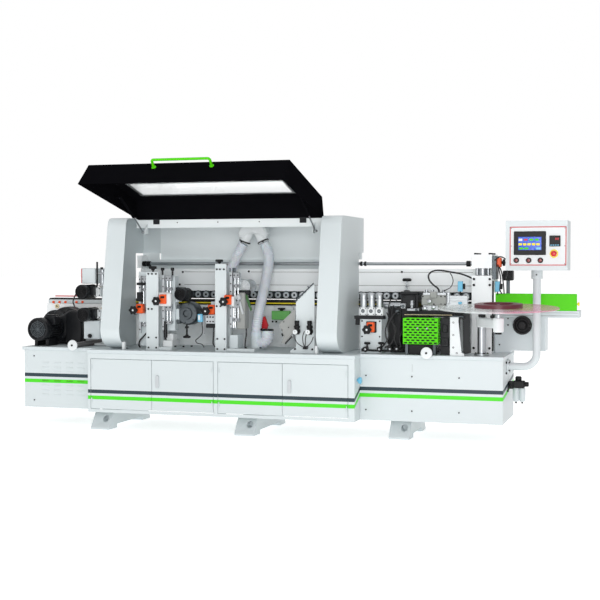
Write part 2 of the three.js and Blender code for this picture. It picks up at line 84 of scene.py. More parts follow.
lights = {
    "key": ((-4.0, -6.0, 4.5), (0, 0, 0.8), 3.5, 45),
    "front": ((2.4, -7.5, 1.7), (-0.3, 0, 0.95), 3.0, 200),
    "top": ((0.0, 0.0, 6.0), (0, 0, 0.5), 5.0, 60),
    "back": ((-1.5, 6.5, 4.0), (0, 0, 0.8), 4.0, 60),
}
for lightName, lightSettings in lights.items():
    areaLight(lightName, *lightSettings)
world = bpy.data.worlds.new("studio")
bpy.context.scene.world = world
world.use_nodes = True
sky = world.node_tree.nodes["Background"]
sky.inputs["Color"].default_value = (1.0, 1.0, 1.0, 1)
rays = world.node_tree.nodes.new("ShaderNodeLightPath")
# The sky lights the object at the first value, and looks white to the camera.
strength = world.node_tree.nodes.new("ShaderNodeMapRange")
strength.inputs["To Min"].default_value = 0.55
strength.inputs["To Max"].default_value = 1.0
world.node_tree.links.new(rays.outputs["Is Camera Ray"], strength.inputs["Value"])
world.node_tree.links.new(strength.outputs["Result"], sky.inputs["Strength"])


# Materials
def nodeIn(tree, kind, **values):
    node = tree.nodes.new("ShaderNode" + kind)
    for key, value in values.items():
        if key in node.inputs:
            node.inputs[key].default_value = value
        else:
            setattr(node, key, value)
    return node


# Colour with soft cloudy variation, roughness that varies with it, and a fine grain as bump.
def newFinish(name, color, rough, metal=0.0, mottle=0.04, cloud=9.0, grain=900.0, bump=0.05,
    stretch=(1, 1, 1), **sockets):
    material = bpy.data.materials.new(name)
    material.use_nodes = True
    tree = material.node_tree
    shader = tree.nodes["Principled BSDF"]
    shader.inputs["Metallic"].default_value = metal
    for key, value in sockets.items():
        shader.inputs[key.replace("_", " ")].default_value = value
    spot = nodeIn(tree, "TexCoord")
    mapping = nodeIn(tree, "Mapping")
    mapping.inputs["Scale"].default_value = stretch
    tree.links.new(spot.outputs["Object"], mapping.inputs["Vector"])
    clouds = nodeIn(tree, "TexNoise", Scale=cloud, Detail=4.0, Roughness=0.6)
    fine = nodeIn(tree, "TexNoise", Scale=grain, Detail=2.0)
    for noise in (clouds, fine):
        tree.links.new(mapping.outputs["Vector"], noise.inputs["Vector"])
    blend = nodeIn(tree, "Mix", data_type="RGBA")
    blend.inputs[6].default_value = (*[c * (1 - mottle) for c in color], 1)
    blend.inputs[7].default_value = (*[min(1, c * (1 + mottle)) for c in color], 1)
    tree.links.new(clouds.outputs["Fac"], blend.inputs["Factor"])
    tree.links.new(blend.outputs[2], shader.inputs["Base Color"])
    spread = nodeIn(tree, "MapRange")
    spread.inputs["To Min"].default_value = max(0.02, rough - 0.08)
    spread.inputs["To Max"].default_value = min(1.0, rough + 0.08)
    tree.links.new(clouds.outputs["Fac"], spread.inputs["Value"])
    tree.links.new(spread.outputs["Result"], shader.inputs["Roughness"])
    relief = nodeIn(tree, "Bump", Strength=bump, Distance=0.001)
    tree.links.new(fine.outputs["Fac"], relief.inputs["Height"])
    tree.links.new(relief.outputs["Normal"], shader.inputs["Normal"])
    return material


# The white paint with a slate and a green band. Where a wall runs back from the front, the bands climb by
# rise per metre as far as the recess, and gently after it: the lower of two straight lines.
def bandedPaint(name, rise):
    material = newFinish(name, whiteColor, 0.42, **whitePaintGrain)
    tree = material.node_tree
    shader = tree.nodes["Principled BSDF"]
    parts = nodeIn(tree, "SeparateXYZ")
    tree.links.new(tree.nodes["Texture Coordinate"].outputs["Object"], parts.inputs["Vector"])
    back = nodeIn(tree, "Math", operation="SUBTRACT")
    back.inputs[1].default_value = float(origin[1])
    recess, gentle = 0.15, 0.13
    steep = nodeIn(tree, "Math", operation="MULTIPLY")
    steep.inputs[1].default_value = rise
    slow = nodeIn(tree, "Math", operation="MULTIPLY_ADD")
    slow.inputs[1].default_value = gentle
    slow.inputs[2].default_value = (rise - gentle) * recess
    climb = nodeIn(tree, "Math", operation="MINIMUM")
    level = nodeIn(tree, "Math", operation="SUBTRACT")
    tree.links.new(parts.outputs["Y"], back.inputs[0])
    for line, socket in ((steep, 0), (slow, 1)):
        tree.links.new(back.outputs["Value"], line.inputs[0])
        tree.links.new(line.outputs["Value"], climb.inputs[socket])
    tree.links.new(parts.outputs["Z"], level.inputs[0])
    tree.links.new(climb.outputs["Value"], level.inputs[1])
    before = shader.inputs["Base Color"].links[0].from_socket
    for band in bands:
        inBand = nodeIn(tree, "Math", operation="COMPARE")
        inBand.inputs[1].default_value = band["height"]
        inBand.inputs[2].default_value = band["half"]
        tree.links.new(level.outputs["Value"], inBand.inputs[0])
        mix = nodeIn(tree, "Mix", data_type="RGBA")
        mix.inputs[7].default_value = (*band["color"], 1)
        tree.links.new(inBand.outputs["Value"], mix.inputs["Factor"])
        tree.links.new(before, mix.inputs[6])
        before = mix.outputs[2]
    tree.links.new(before, shader.inputs["Base Color"])
    return material


# A clear milky sheet whose tint goes from one colour to the other along X: mix = (X - x0) / (x1 - x0).
def tintedSheet(name, near, far, span):
    material = newFinish(name, near, 0.22, mottle=0.03, bump=0.02, Alpha=0.55)
    tree = material.node_tree
    parts = nodeIn(tree, "SeparateXYZ")
    tree.links.new(tree.nodes["Texture Coordinate"].outputs["Object"], parts.inputs["Vector"])
    along = nodeIn(tree, "MapRange")
    along.inputs["From Min"].default_value = span[0]
    along.inputs["From Max"].default_value = span[1]
    tree.links.new(parts.outputs["X"], along.inputs["Value"])
    mix = nodeIn(tree, "Mix", data_type="RGBA")
    mix.inputs[6].default_value = (*near, 1)
    mix.inputs[7].default_value = (*far, 1)
    tree.links.new(along.outputs["Result"], mix.inputs["Factor"])
    tree.links.new(mix.outputs[2], tree.nodes["Principled BSDF"].inputs["Base Color"])
    return material


whiteColor = (0.615, 0.67, 0.685)
whitePaintGrain = {"mottle": 0.018, "cloud": 2.2, "grain": 700.0, "bump": 0.06}
bands = [{"height": 0.279, "half": 0.013, "color": (0.009, 0.030, 0.042)},
         {"height": 0.2345, "half": 0.0135, "color": (0.06, 0.66, 0.001)}]
finishes = {
    "white": newFinish("white powder coat", whiteColor, 0.42, **whitePaintGrain),
    "offWhite": newFinish("cast white", (0.72, 0.75, 0.76), 0.5, mottle=0.05, bump=0.15, grain=500.0),
    # The white paint made brighter for the beams and the lift column: painted light against the shade under
    # the hood.
    "paintedLightWhite": newFinish("white paint brightened as painted light", (0.9, 0.93, 0.94), 0.42, **whitePaintGrain),
    "bandedFlat": bandedPaint("banded paint front", 0.44),
    "bandedLeft": bandedPaint("banded paint left", 0.62),
    "grey": newFinish("light grey paint", (0.6, 0.66, 0.68), 0.38, mottle=0.03, cloud=3.0),
    "midGrey": newFinish("mid grey paint", (0.3, 0.31, 0.3), 0.45, mottle=0.06),
    "black": newFinish("black textured paint", (0.004, 0.004, 0.005), 0.72, mottle=0.2, bump=0.35,
        grain=1400.0, Specular_IOR_Level=0.0),
    "blackGloss": newFinish("black machine enamel", (0.007, 0.008, 0.01), 0.34, mottle=0.2, bump=0.12,
        Coat_Weight=0.06, Specular_IOR_Level=0.28),
    "blackPlastic": newFinish("black plastic", (0.006, 0.006, 0.007), 0.42, mottle=0.15, bump=0.08,
        Specular_IOR_Level=0.25),
    "darkSteel": newFinish("blued steel", (0.1, 0.115, 0.125), 0.4, 0.85, mottle=0.25, cloud=30.0,
        bump=0.1),
    "steel": newFinish("ground steel", (0.4, 0.42, 0.44), 0.33, 0.95, mottle=0.12, stretch=(1, 1, 0.04),
        cloud=160.0),
    "aluminium": newFinish("clear aluminium", (0.55, 0.58, 0.6), 0.38, 0.75, mottle=0.06,
        stretch=(0.06, 1, 1), cloud=120.0),
    "chrome": newFinish("hard chrome", (0.6, 0.62, 0.64), 0.12, 1.0, mottle=0.03, bump=0.01),
    "green": newFinish("green paint", (0.085, 0.6, 0.001), 0.45, mottle=0.05, cloud=5.0, bump=0.08,
        Specular_IOR_Level=0.2),
    # Dark green enamel of the unit two guard, also the painted shade in the green vent slits.
    "darkGreen": newFinish("dark green enamel and painted slit shade", (0.03, 0.11, 0.025), 0.45),
    "orange": newFinish("orange plastic", (0.86, 0.1, 0.012), 0.38, mottle=0.05),
    "red": newFinish("red plastic", (0.62, 0.008, 0.012), 0.28, mottle=0.05, Coat_Weight=0.4),
    "redPaint": newFinish("red paint", (0.55, 0.012, 0.02), 0.42, mottle=0.06),
    "yellow": newFinish("yellow strip", (0.92, 0.74, 0.01), 0.5, mottle=0.06),
    "blue": newFinish("sensor blue", (0.16, 0.5, 0.72), 0.4, mottle=0.05),
    "buff": newFinish("cream buff", (0.72, 0.6, 0.38), 0.6, mottle=0.08),
    "rubber": newFinish("chain rubber", (0.02, 0.021, 0.022), 0.75, mottle=0.2, bump=0.4, grain=600.0),
    "cable": newFinish("cable jacket", (0.014, 0.014, 0.016), 0.5, bump=0.1),
    "tape": newFinish("edge tape", (0.13, 0.022, 0.035), 0.35, mottle=0.12, cloud=25.0, bump=0.05),
    "redDark": newFinish("dark red plastic", (0.2, 0.004, 0.006), 0.3, mottle=0.05, Coat_Weight=0.3),
    "paleGreen": newFinish("pale green plastic", (0.16, 0.52, 0.13), 0.45, mottle=0.05),
    "armGrey": newFinish("arm tube", (0.15, 0.14, 0.14), 0.45, 0.3, mottle=0.1),
    "screen": newFinish("screen glass", (0.03, 0.1, 0.6), 0.12, mottle=0.1, Emission_Strength=0.0),
    # The hood's white paint made brighter than whiteColor: painted light inside the shaded hood.
    "hoodPaintedLightWhite": newFinish("hood white brightened as painted light", (0.78, 0.83, 0.84), 0.42, mottle=0.03, cloud=3.0),
    "hose": newFinish("ribbed hose", (0.78, 0.82, 0.88), 0.3, mottle=0.14, cloud=14.0, bump=0.05,
        Alpha=0.86, Subsurface_Weight=0.15),
    "glass": newFinish("clear sheet", (0.93, 0.97, 0.99), 0.1, bump=0.0, Transmission_Weight=0.85, IOR=1.2,
        Alpha=0.5),
    "milky": tintedSheet("milky acrylic", (0.74, 0.78, 0.78), (0.74, 0.3, 0.42), (1.56, 1.74)),
}


# Mesh tools
toFront, toBack, toTop, toRight = (0, -1, 0), (0, 1, 0), (0, 0, 1), (1, 0, 0)


# Three unit vectors: two across the direction and the direction itself.
def axesOf(direction):
    along = np.asarray(direction, float) / np.linalg.norm(direction)
    across = np.cross([0, 0, 1] if abs(along[2]) < 0.9 else [1, 0, 0], along)
    across /= np.linalg.norm(across)
    return across, np.cross(along, across), along


# Quads of a rows by columns grid whose last column joins the first.
def gridFaces(rows, columns):
    row = np.arange(rows - 1)[:, None] * columns
    column = np.arange(columns)[None, :]
    beside = (column + 1) % columns
    return np.stack([row + column, row + beside, row + columns + beside, row + columns + column],
        -1).reshape(-1, 4).tolist()


# point(u, a) = base + height(u) along + radius(u) (1 + depth cos(count a)) (cos a across + sin a up).
def turned(profile, base, direction, sides=28, lobes=(0, 0.0)):
    profile = np.asarray(profile, float)
    across, up, along = axesOf(direction)
    angle = np.linspace(0, 2 * math.pi, sides, endpoint=False)
    ring = (np.cos(angle)[:, None] * across + np.sin(angle)[:, None] * up) * (1
        + lobes[1] * np.cos(lobes[0] * angle))[:, None]
    points = np.asarray(base, float) + profile[:, 1, None, None] * along + profile[:, 0, None, None] * ring
    return points.reshape(-1, 3), gridFaces(len(profile), sides)


# A round bar between two points with chamfered rims.
def rod(start, end, radius, edge=1.0, sides=24, lobes=(0, 0.0)):
    run = np.asarray(end, float) - np.asarray(start, float)
    length = np.linalg.norm(run)
    profile = [(0, 0), (radius - edge, 0), (radius, edge), (radius, length - edge), (radius - edge, length),
        (0, length)]
    return turned(profile, start, run, sides, lobes)


# A box with chamfered edges: a rectangle with cut corners carried up, drawn in by the edge at both ends.
def brick(x, y, z, edge=1.5):
    (x0, x1), (y0, y1), (z0, z1) = x, y, z
    edge = min(edge, 0.45 * min(x1 - x0, y1 - y0, z1 - z0))
    corners = np.array([(x1, y0), (x1, y1), (x0, y1), (x0, y0)], float)
    sides = np.array([(1, -1), (1, 1), (-1, 1), (-1, -1)], float)
    rings = []
    for reach, height in ((0, z0), (edge, z0 + edge), (edge, z1 - edge), (0, z1)):
        inner = corners - sides * edge
        first = inner + sides * [[0, 1], [1, 0], [0, 1], [1, 0]] * reach
        second = inner + sides * [[1, 0], [0, 1], [1, 0], [0, 1]] * reach
        ring = np.stack([first, second], 1).reshape(-1, 2)
        rings.append(np.column_stack([ring, np.full(8, height)]))
    return np.concatenate(rings), gridFaces(4, 8) + [list(range(7, -1, -1)), list(range(24, 32))]


# An outline carried from start to end along an axis, its rims chamfered by moving each corner along its
# mitre.
def slab(outline, axis, start, end, edge=1.5):
    outline = np.asarray(outline, float)
    before, after = np.roll(outline, 1, 0), np.roll(outline, -1, 0)
    turnSign = np.sign(np.sum(outline[:, 0] * after[:, 1] - after[:, 0] * outline[:, 1]))
    def inward(run):
        return turnSign * np.column_stack([-run[:, 1], run[:, 0]]) / np.linalg.norm(run, axis=1)[:, None]
    n1, n2 = inward(outline - before), inward(after - outline)
    mitre = (n1 + n2) / (1 + np.sum(n1 * n2, 1))[:, None]
    edge = min(edge, 0.45 * abs(end - start))
    order = {"x": [2, 0, 1], "y": [0, 2, 1], "z": [0, 1, 2]}[axis]
    rings = [np.column_stack([outline + mitre * inset, np.full(len(outline), depth)])
             for inset, depth in ((edge, start), (0, start + edge), (0, end - edge), (edge, end))]
    count = len(outline)
    points = np.concatenate(rings)[:, order]
    return points, gridFaces(4, count) + [list(range(count)), list(range(3 * count, 4 * count))]


# A centripetal Catmull-Rom curve through the points: each stretch is four points mixed by square-root
# knots.
def smoothPath(points, steps):
    points = np.asarray(points, float)
    full = np.vstack([2 * points[0] - points[1], points, 2 * points[-1] - points[-2]])
    where = np.linspace(0, len(points) - 1, steps)
    index = np.minimum(where.astype(int), len(points) - 2)
    share = (where - index)[:, None]
    p = [full[index + k] for k in range(4)]
    knot = [np.zeros((steps, 1))]
    for k in range(3):
        knot.append(knot[-1] + np.sqrt(np.linalg.norm(p[k + 1] - p[k], axis=1))[:, None])
    t = knot[1] + share * (knot[2] - knot[1])
    def between(a, b, k, m):
        return ((knot[m] - t) * a + (t - knot[k]) * b) / (knot[m] - knot[k])
    a1, a2, a3 = between(p[0], p[1], 0, 1), between(p[1], p[2], 1, 2), between(p[2], p[3], 2, 3)
    return between(between(a1, a2, 0, 2), between(a2, a3, 1, 3), 1, 2)


# point(s, a) = path(s) + radius (1 + depth cos(2 pi s / pitch - a)) (cos a across + sin a up), closed at
# both ends.
def tube(path, radius, sides=10, helix=(0.0, 1.0)):
    path = np.asarray(path, float)
    run = np.gradient(path, axis=0)
    run /= np.linalg.norm(run, axis=1)[:, None]
    across = np.empty_like(path)
    across[0] = axesOf(run[0])[0]
    for i in range(1, len(path)):
        carried = across[i - 1] - run[i] * np.dot(across[i - 1], run[i])
        across[i] = carried / np.linalg.norm(carried)
    up = np.cross(run, across)
    travelled = np.concatenate([[0], np.cumsum(np.linalg.norm(np.diff(path, axis=0), axis=1))])
    angle = np.linspace(0, 2 * math.pi, sides, endpoint=False)
    depth, pitch = helix
    reach = radius * (1 + depth * np.cos(2 * math.pi * travelled[:, None] / pitch - angle[None, :]))[...,
        None]
    wall = path[:, None] + reach * (np.cos(angle)[:, None] * across[:, None]
        + np.sin(angle)[:, None] * up[:, None])
    points = np.concatenate([np.repeat(path[:1], sides, 0), wall.reshape(-1, 3),
        np.repeat(path[-1:], sides, 0)])
    return points, gridFaces(len(path) + 2, sides)


# A socket cap screw standing on the point, its head turned from one profile with the socket sunk in.
def screw(at, direction, size=9.0):
    radius = size / 2
    return turned([(0, -1), (radius, -1), (radius, size * 0.45), (radius * 0.85, size * 0.55),
        (radius * 0.5, size * 0.55), (radius * 0.5, size * 0.2), (0, size * 0.2)], at, direction, 12)


# A lobed hand knob: the ring of each height swells with the cosine of its lobe count.
def starKnob(at, direction, radius=17.0, length=22.0, lobes=5):
    return turned([(0, 0), (radius * 0.45, 0), (radius * 0.5, length * 0.3), (radius * 0.9, length * 0.34),
        (radius, length * 0.48), (radius, length * 0.85), (radius * 0.86, length), (radius * 0.4, length),
        (0, length)], at, direction, 40, (lobes, 0.1))


def joinShapes(shapes):
    points, faces, start = [], [], 0
    for shapePoints, shapeFaces in shapes:
        points.append(shapePoints)
        faces += [[corner + start for corner in face] for face in shapeFaces]
        start += len(shapePoints)
    return np.concatenate(points), faces


# One object of several shapes: doubles merged so poles close, faces turned outwards, hard edges kept by
# angle.
def piece(name, shapes, finish, body="base", angle=38):
    points, faces = joinShapes(shapes)
    mesh = bpy.data.meshes.new(name)
    mesh.from_pydata(place(points), [], faces)
    work = bmesh.new()
    work.from_mesh(mesh)
    bmesh.ops.remove_doubles(work, verts=work.verts, dist=2e-6)
    bmesh.ops.recalc_face_normals(work, faces=work.faces)
    work.to_mesh(mesh)
    work.free()
    mesh.shade_smooth()
    mesh.set_sharp_from_angle(angle=math.radians(angle))
    mesh.materials.append(finishes[finish])
    made = bpy.data.objects.new(name, mesh)
    bpy.context.scene.collection.objects.link(made)
    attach(made, body)
    return made


# A lead along a smooth curve through its route.
def lead(name, route, steps, radius, sides=10, body="base"):
    return piece(name, [tube(smoothPath(route, steps), radius, sides)], "cable", body)


# A copy of a CAD piece, its flat faces rejoined, with rounded edges. It stands for the plain one.
def softened(node, finish, edge=2.0, segments=2):
    foldAngle = math.radians(33)
    mesh = frame["nodes"][node].data.copy()
    work = bmesh.new()
    work.from_mesh(mesh)
    bmesh.ops.remove_doubles(work, verts=work.verts, dist=1e-5)
    bmesh.ops.dissolve_limit(work, angle_limit=math.radians(0.6), verts=work.verts, edges=work.edges)
    work.to_mesh(mesh)
    work.free()
    mesh.materials.clear()
    mesh.materials.append(finishes[finish])
    mesh.shade_smooth()
    mesh.set_sharp_from_angle(angle=foldAngle)
    made = bpy.data.objects.new(node + "_finished", mesh)
    bpy.context.scene.collection.objects.link(made)
    rounding = made.modifiers.new("rounding", "BEVEL")
    rounding.width = edge * mm
    rounding.segments = segments
    rounding.limit_method = "ANGLE"
    rounding.angle_limit = foldAngle
    rounding.harden_normals = False
    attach(made, bodyOf[node])
    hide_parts(node)
    return made


# Hoses and cable
hoseSettings = {"radius": 37.0, "wall": 0.05, "pitch": 15.0, "sides": 40}
leftHoseRoute = [(1601, 600, 1359), (1586, 600, 1337), (1560, 592, 1285), (1530, 570, 1205),
    (1505, 530, 1125), (1492, 475, 1045), (1488, 424, 995), (1488, 398, 962), (1488, 395, 937)]
rightHoseRoute = [(1763, 600, 1359), (1778, 600, 1337), (1800, 588, 1280), (1812, 555, 1205),
    (1814, 500, 1110), (1812, 435, 1005), (1809, 375, 905), (1806, 325, 815), (1804, 303, 750),
    (1804, 300, 695)]
cableRoute = [(3334, 500, 1105), (3310, 490, 1118), (3262, 440, 1138), (3200, 410, 1150), (3140, 390, 1160),
              (3085, 380, 1158), (3052, 375, 1132), (3052, 380, 1098), (3078, 395, 1062), (3108, 412, 1036),
              (3116, 420, 1018), (3116, 420, 1006.5)]


for side, route in (("left", leftHoseRoute), ("right", rightHoseRoute)):
    path = smoothPath(route, 340)
    ribbed = tube(path, hoseSettings["radius"], hoseSettings["sides"],
        (hoseSettings["wall"], hoseSettings["pitch"]))
    hose = piece("ribbed_hose_" + side, [ribbed], "hose", angle=80)
    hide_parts("dust_hose_" + side)
path = smoothPath(cableRoute, 90)
heaterCable = piece("heater_lead", [tube(path, 6.0, 12)], "cable", angle=80)
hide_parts("heater_cable")
print("hoses and cable made")

# Sheet metal, beams and castings that keep the CAD shape
whitePanels = {
    "main_cabinet": 2.0,
    "hood_left_wing": 3.0,
    "hood_right_wing": 3.0,
    "trim_frame_1": 1.5,
    "trim_frame_2": 1.5,
    "guard_plate": 1.0,
    "control_box": 5.0,
}
for node, edge in whitePanels.items():
    softened(node, "bandedFlat" if node == "main_cabinet" else "white", edge)
# The track beam, pressure beam and lift column take the white paint brightened as painted light.
softened("track_beam", "paintedLightWhite", 2.0)
softened("pressure_beam", "paintedLightWhite", 3.0)
softened("lift_column", "paintedLightWhite", 2.5)
softened("left_cabinet", "bandedLeft", 2.0)
softened("right_cabinet", "bandedFlat", 2.0)
for number in range(1, 5):
    softened("door_%d" % number, "bandedFlat", 2.0)
for node in ("bed_plate", "foot_beam_1", "foot_beam_2", "foot_beam_3", "infeed_housing"):
    softened(node, "grey", 2.5)
# The hood top takes the hood white brightened as painted light.
softened("hood_top", "hoodPaintedLightWhite", 1.5)
for node, edge in {"lid": 1.2, "strut_cylinder_left": 1.0, "strut_cylinder_right": 1.0,
    "glue_pot": 3.0}.items():
    softened(node, "blackGloss" if node == "glue_pot" else "black", edge)
for node in ("strut_rod_left", "strut_rod_right"):
    softened(node, "steel", 0.6)
softened("infeed_fence", "green", 3.0)
for node in ("door_latch_1", "door_latch_2"):
    softened(node, "aluminium", 2.0)
softened("cutter_unit", "blackGloss", 1.5)
softened("tape_magazine", "aluminium", 1.5)
softened("lid_window", "glass", 0.5)
print("panels rounded")

# Chain track and pressure rollers
track = {
    "left": -72,
    "right": 3472,
    "padPitch": 50.0,
    "padWidth": 46.0,
    "front": 642.5,
    "back": 729.5,
    "top": 937.5,
}
pads = [brick((x, x + track["padWidth"]), (track["front"], track["back"]), (905, track["top"]), 2.0)
        for x in np.arange(track["left"] + 18, track["right"] - 60, track["padPitch"])]
ends = [rod((x, track["front"] + 8, 916), (x, track["back"] - 8, 916), 20, 2, 28)
    for x in (track["left"] + 20, track["right"] - 24)]
link = brick((track["left"] + 22, track["right"] - 24), (track["front"] + 12, track["back"] - 12),
    (897, 920), 2)
chainPads = piece("chain_pads", pads + ends + [link], "rubber")
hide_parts("track_chain")

guardEnds = (700, 3470)
piece("track_guard_strip", [brick(guardEnds, (632.0, 636.8), (897, 925), 1.0)], "blackPlastic")
piece("yellow_guide_strip", [brick((420, 3470), (629.6, 632.2), (907.5, 916.5), 0.8)], "yellow", "base")
piece("outfeed_guard_strip", [brick((-60, 699), (632.0, 636.8), (897, 925), 1.0)], "grey")
adjusters = [(-15, 904), (38, 905), (91, 905), (188, 906), (240, 907)]
piece("track_end_adjusters", [screw((x, 634, z), toFront, 20) for x, z in adjusters], "orange")

rollers = {
    "first": 957.2,
    "pitch": 64.2,
    "count": 37,
    "radius": 30.5,
    "height": 974.5,
    "front": 640.0,
    "back": 667.5,
}
centres = rollers["first"] + rollers["pitch"] * np.arange(rollers["count"])
bodies, rings, hubs = [], [], []
for x in centres:
    front, r = rollers["front"], rollers["radius"]
    bodies.append(turned([(0, 3), (r * 0.78, 3), (r * 0.8, 0), (r - 2, 0), (r, 2), (r, 27), (0, 27)],
        (x, front, rollers["height"]), toBack))
    rings.append(turned([(r * 0.3, 4), (r * 0.32, -2), (r * 0.7, -2), (r * 0.76, 0), (r * 0.76, 4),
        (r * 0.3, 4)], (x, front, rollers["height"]), toBack, 24))
    hubs.append(screw((x, front + 3, rollers["height"]), toFront, 13))
piece("roller_tyres", bodies, "darkSteel", "pressure_beam")
piece("roller_hubs", rings, "aluminium", "pressure_beam")
piece("roller_bolts", hubs, "blackPlastic", "pressure_beam")
piece("roller_rail_cover", [brick((898, 3322), (667.6, 671.8), (944, 1001), 1.0)], "blackPlastic",
    "pressure_beam")
piece("beam_slots", [brick((1100, 1540), (643.6, 645.4), (z - 2, z + 2), 0.6) for z in (1049, 1146)]
    + [brick((1640, 3318), (643.6, 645.4), (z - 2, z + 2), 0.6) for z in (1049, 1146)], "midGrey",
    "pressure_beam")
beamBolts = [(1088, 1145), (1063, 1049), (1625, 1150), (1625, 1050), (2802, 1148), (2330, 1148), (2330, 1050)]
piece("beam_bolts", [screw((x, 645, z), toFront, 15) for x, z in beamBolts], "blackPlastic",
    "pressure_beam")

# Synchronising shaft with its couplings
shaftY, shaftZ = 655, 1208
shaftPiece = piece("shaft_and_couplings", [rod((748, shaftY, shaftZ), (3337, shaftY, shaftZ), 12, 1, 32)],
    "steel", "sync_shaft")
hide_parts("sync_shaft")
couplings = [rod((x, shaftY, shaftZ), (x + 30, shaftY, shaftZ), 21, 2, 32) for x in (749, 785, 3270, 3306)]
couplings += [rod((x, shaftY, shaftZ), (x + 14, shaftY, shaftZ), 17, 1.5, 32) for x in (2490, 2520)]
piece("shaft_couplings", couplings, "blackPlastic", "sync_shaft")
print("feed made")


# Parts that the working units share

# An air-cooled motor along Y: fan cover with a ringed grille, a finned barrel whose radius is a cosine of
# the angle, and a plain end bell. Returns barrel shapes and grille shapes.
def motorShapes(x, z, front, back, radius):
    length = back - front
    cover = turned([(0, 9), (radius * 0.8, 9), (radius * 0.84, 0), (radius * 0.95, 0), (radius, 6),
        (radius, length * 0.24), (radius * 0.9, length * 0.25), (0, length * 0.25)], (x, front, z), toBack,
        40)
    barrel = turned([(0, length * 0.24), (radius * 0.9, length * 0.24), (radius * 0.93, length * 0.26),
                     (radius * 0.93, length * 0.86), (radius * 0.9, length * 0.88), (0, length * 0.88)],
                    (x, front, z), toBack, 168, (28, 0.045))
    bell = turned([(0, length * 0.86), (radius * 0.97, length * 0.86), (radius, length * 0.88),
        (radius, length * 0.96), (radius * 0.7, length), (0, length)], (x, front, z), toBack, 40)
    rings = [turned([(radius * k, 6), (radius * k, 2), (radius * (k + 0.05), 2), (radius * (k + 0.05), 6),
        (radius * k, 6)], (x, front, z), toBack, 36) for k in (0.2, 0.34, 0.48, 0.62)]
    spokes = [rod((x + radius * 0.1 * math.cos(a), front + 5, z + radius * 0.1 * math.sin(a)),
                  (x + radius * 0.8 * math.cos(a), front + 5, z + radius * 0.8 * math.sin(a)), 1.8, 0.5, 8)
              for a in np.arange(8) * math.pi / 4]
    hub = turned([(0, 1), (radius * 0.14, 1), (radius * 0.16, 4), (0, 4)], (x, front, z), toBack, 20)
    return [cover, barrel, bell], rings + spokes + [hub]


# A position counter: rounded orange case with a dark reading window, its lobed black knob with a pale cap.
def counter(name, x, z, front, body, knobAt):
    piece(name + "_case", [brick((x - 27, x + 27), (front, front + 46), (z - 34, z + 34), 6)], "orange",
        body)
    piece(name + "_window", [brick((x - 14, x + 16), (front - 1.2, front + 1), (z + 6, z + 22), 0.8)],
        "blackPlastic", body)
    kx, kz, ky = knobAt
    piece(name + "_knob", [starKnob((kx, ky, kz), toFront, 31, 26, 6),
        rod((kx, ky, kz), (kx, front + 20, kz), 7, 1, 16)], "blackPlastic", body)
    piece(name + "_cap", [turned([(0, 0), (7, 0), (7, 2), (5, 4), (0, 4)], (kx, ky - 25.5, kz), toFront,
        24)], "offWhite", body)


def boltRow(name, places, direction, size, body="base", finish="blackPlastic"):
    return piece(name, [screw(at, direction, size) for at in places], finish, body)


# A ground guide rail with its bolts, two rods beside it and a carriage block low down.
def verticalSlide(name, x, y, low, high, body, width=22.0):
    piece(name + "_rail", [brick((x, x + width), (y, y + 16), (low, high))], "aluminium", body)
    rods = [rod((x + width + k, y + 14, low + 60), (x + width + k, y + 14, high - 20), 6.5, 1, 16)
        for k in (16, 40)]
    piece(name + "_rods", rods, "chrome", body)
    blocks = [brick((x + width + 3, x + width + 54), (y + 2, y + 30), (z, z + h), 2.5)
              for z, h in ((high - 44, 40), (high - 112, 22), (low + 140, 52), (low + 44, 26))]
    piece(name + "_blocks", blocks, "steel", body)
    at = [(x + width / 2, y, z) for z in np.linspace(low + 26, high - 26, 7)]
    at += [(x + width + k, y + 2, z) for k in (14, 42) for z in (high - 24, high - 101, low + 166, low + 57)]
    boltRow(name + "_bolts", at, toFront, 9, body)


# Trimming unit one
boltRow("unit_one_bolts", [(x, 112, 1134) for x in (1040, 1069, 1100)] + [(1040, 112, 879), (1067, 112, 879)]
        + [(x, 112, z) for x in (1040, 1100) for z in (599, 672)], toFront, 13)
piece("unit_one_top_knob", [starKnob((1060, 150, 1160), toTop, 27, 30, 5),
    rod((1060, 150, 1140), (1060, 150, 1166), 7, 1, 16)], "blackPlastic")
piece("unit_one_clamps", [rod((x, 176, 1122), (x, 176, 1172), 7, 1, 6) for x in (1124, 1202)]
    + [rod((x, 176, 1158), (x, 176, 1180), 13, 2) for x in (1124, 1202)], "blackPlastic", "trim_head_1")
verticalSlide("unit_one_slide", 1128, 150, 724, 1126, "trim_head_1")
headOne = piece("unit_one_carriage", [brick((1120, 1216), (188, 262), (720, 1118), 3),
    brick((1214, 1240), (200, 262), (930, 1010), 3), brick((1214, 1240), (205, 262), (800, 880), 3)],
    "grey", "trim_head_1")
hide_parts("trim_head_1")
barrelOne, grilleOne = motorShapes(1259, 985, 176, 322, 46)
piece("unit_one_motor", barrelOne + [brick((1205, 1262), (200, 300), (1012, 1036), 6)], "blackGloss",
    "trim_head_1")
piece("unit_one_motor_grille", grilleOne, "blackPlastic", "trim_head_1")
piece("unit_one_cutter_hood", [turned([(0, 14), (22, 14), (26, 0), (34, 0), (44, 12), (74, 16), (82, 26),
    (84, 36), (84, 118), (78, 126), (0, 126)], (1300, 196, 845), toBack, 56)], "darkSteel", "trim_head_1")
piece("unit_one_hood_shadow", [turned([(30, 2), (32, -1), (41, -1), (43, 10), (30, 10), (30, 2)],
    (1300, 196, 845), toBack, 40), brick((1216, 1246), (212, 268), (770, 905), 4)], "darkSteel",
    "trim_head_1")
piece("unit_one_hood_knob", [starKnob((1293, 225, 690), (0, 0, -1), 25, 24, 6),
    rod((1293, 225, 684), (1293, 225, 768), 6.5, 1, 16),
    rod((1293, 225, 738), (1293, 225, 752), 14, 1.5, 6)], "blackPlastic", "trim_head_1")
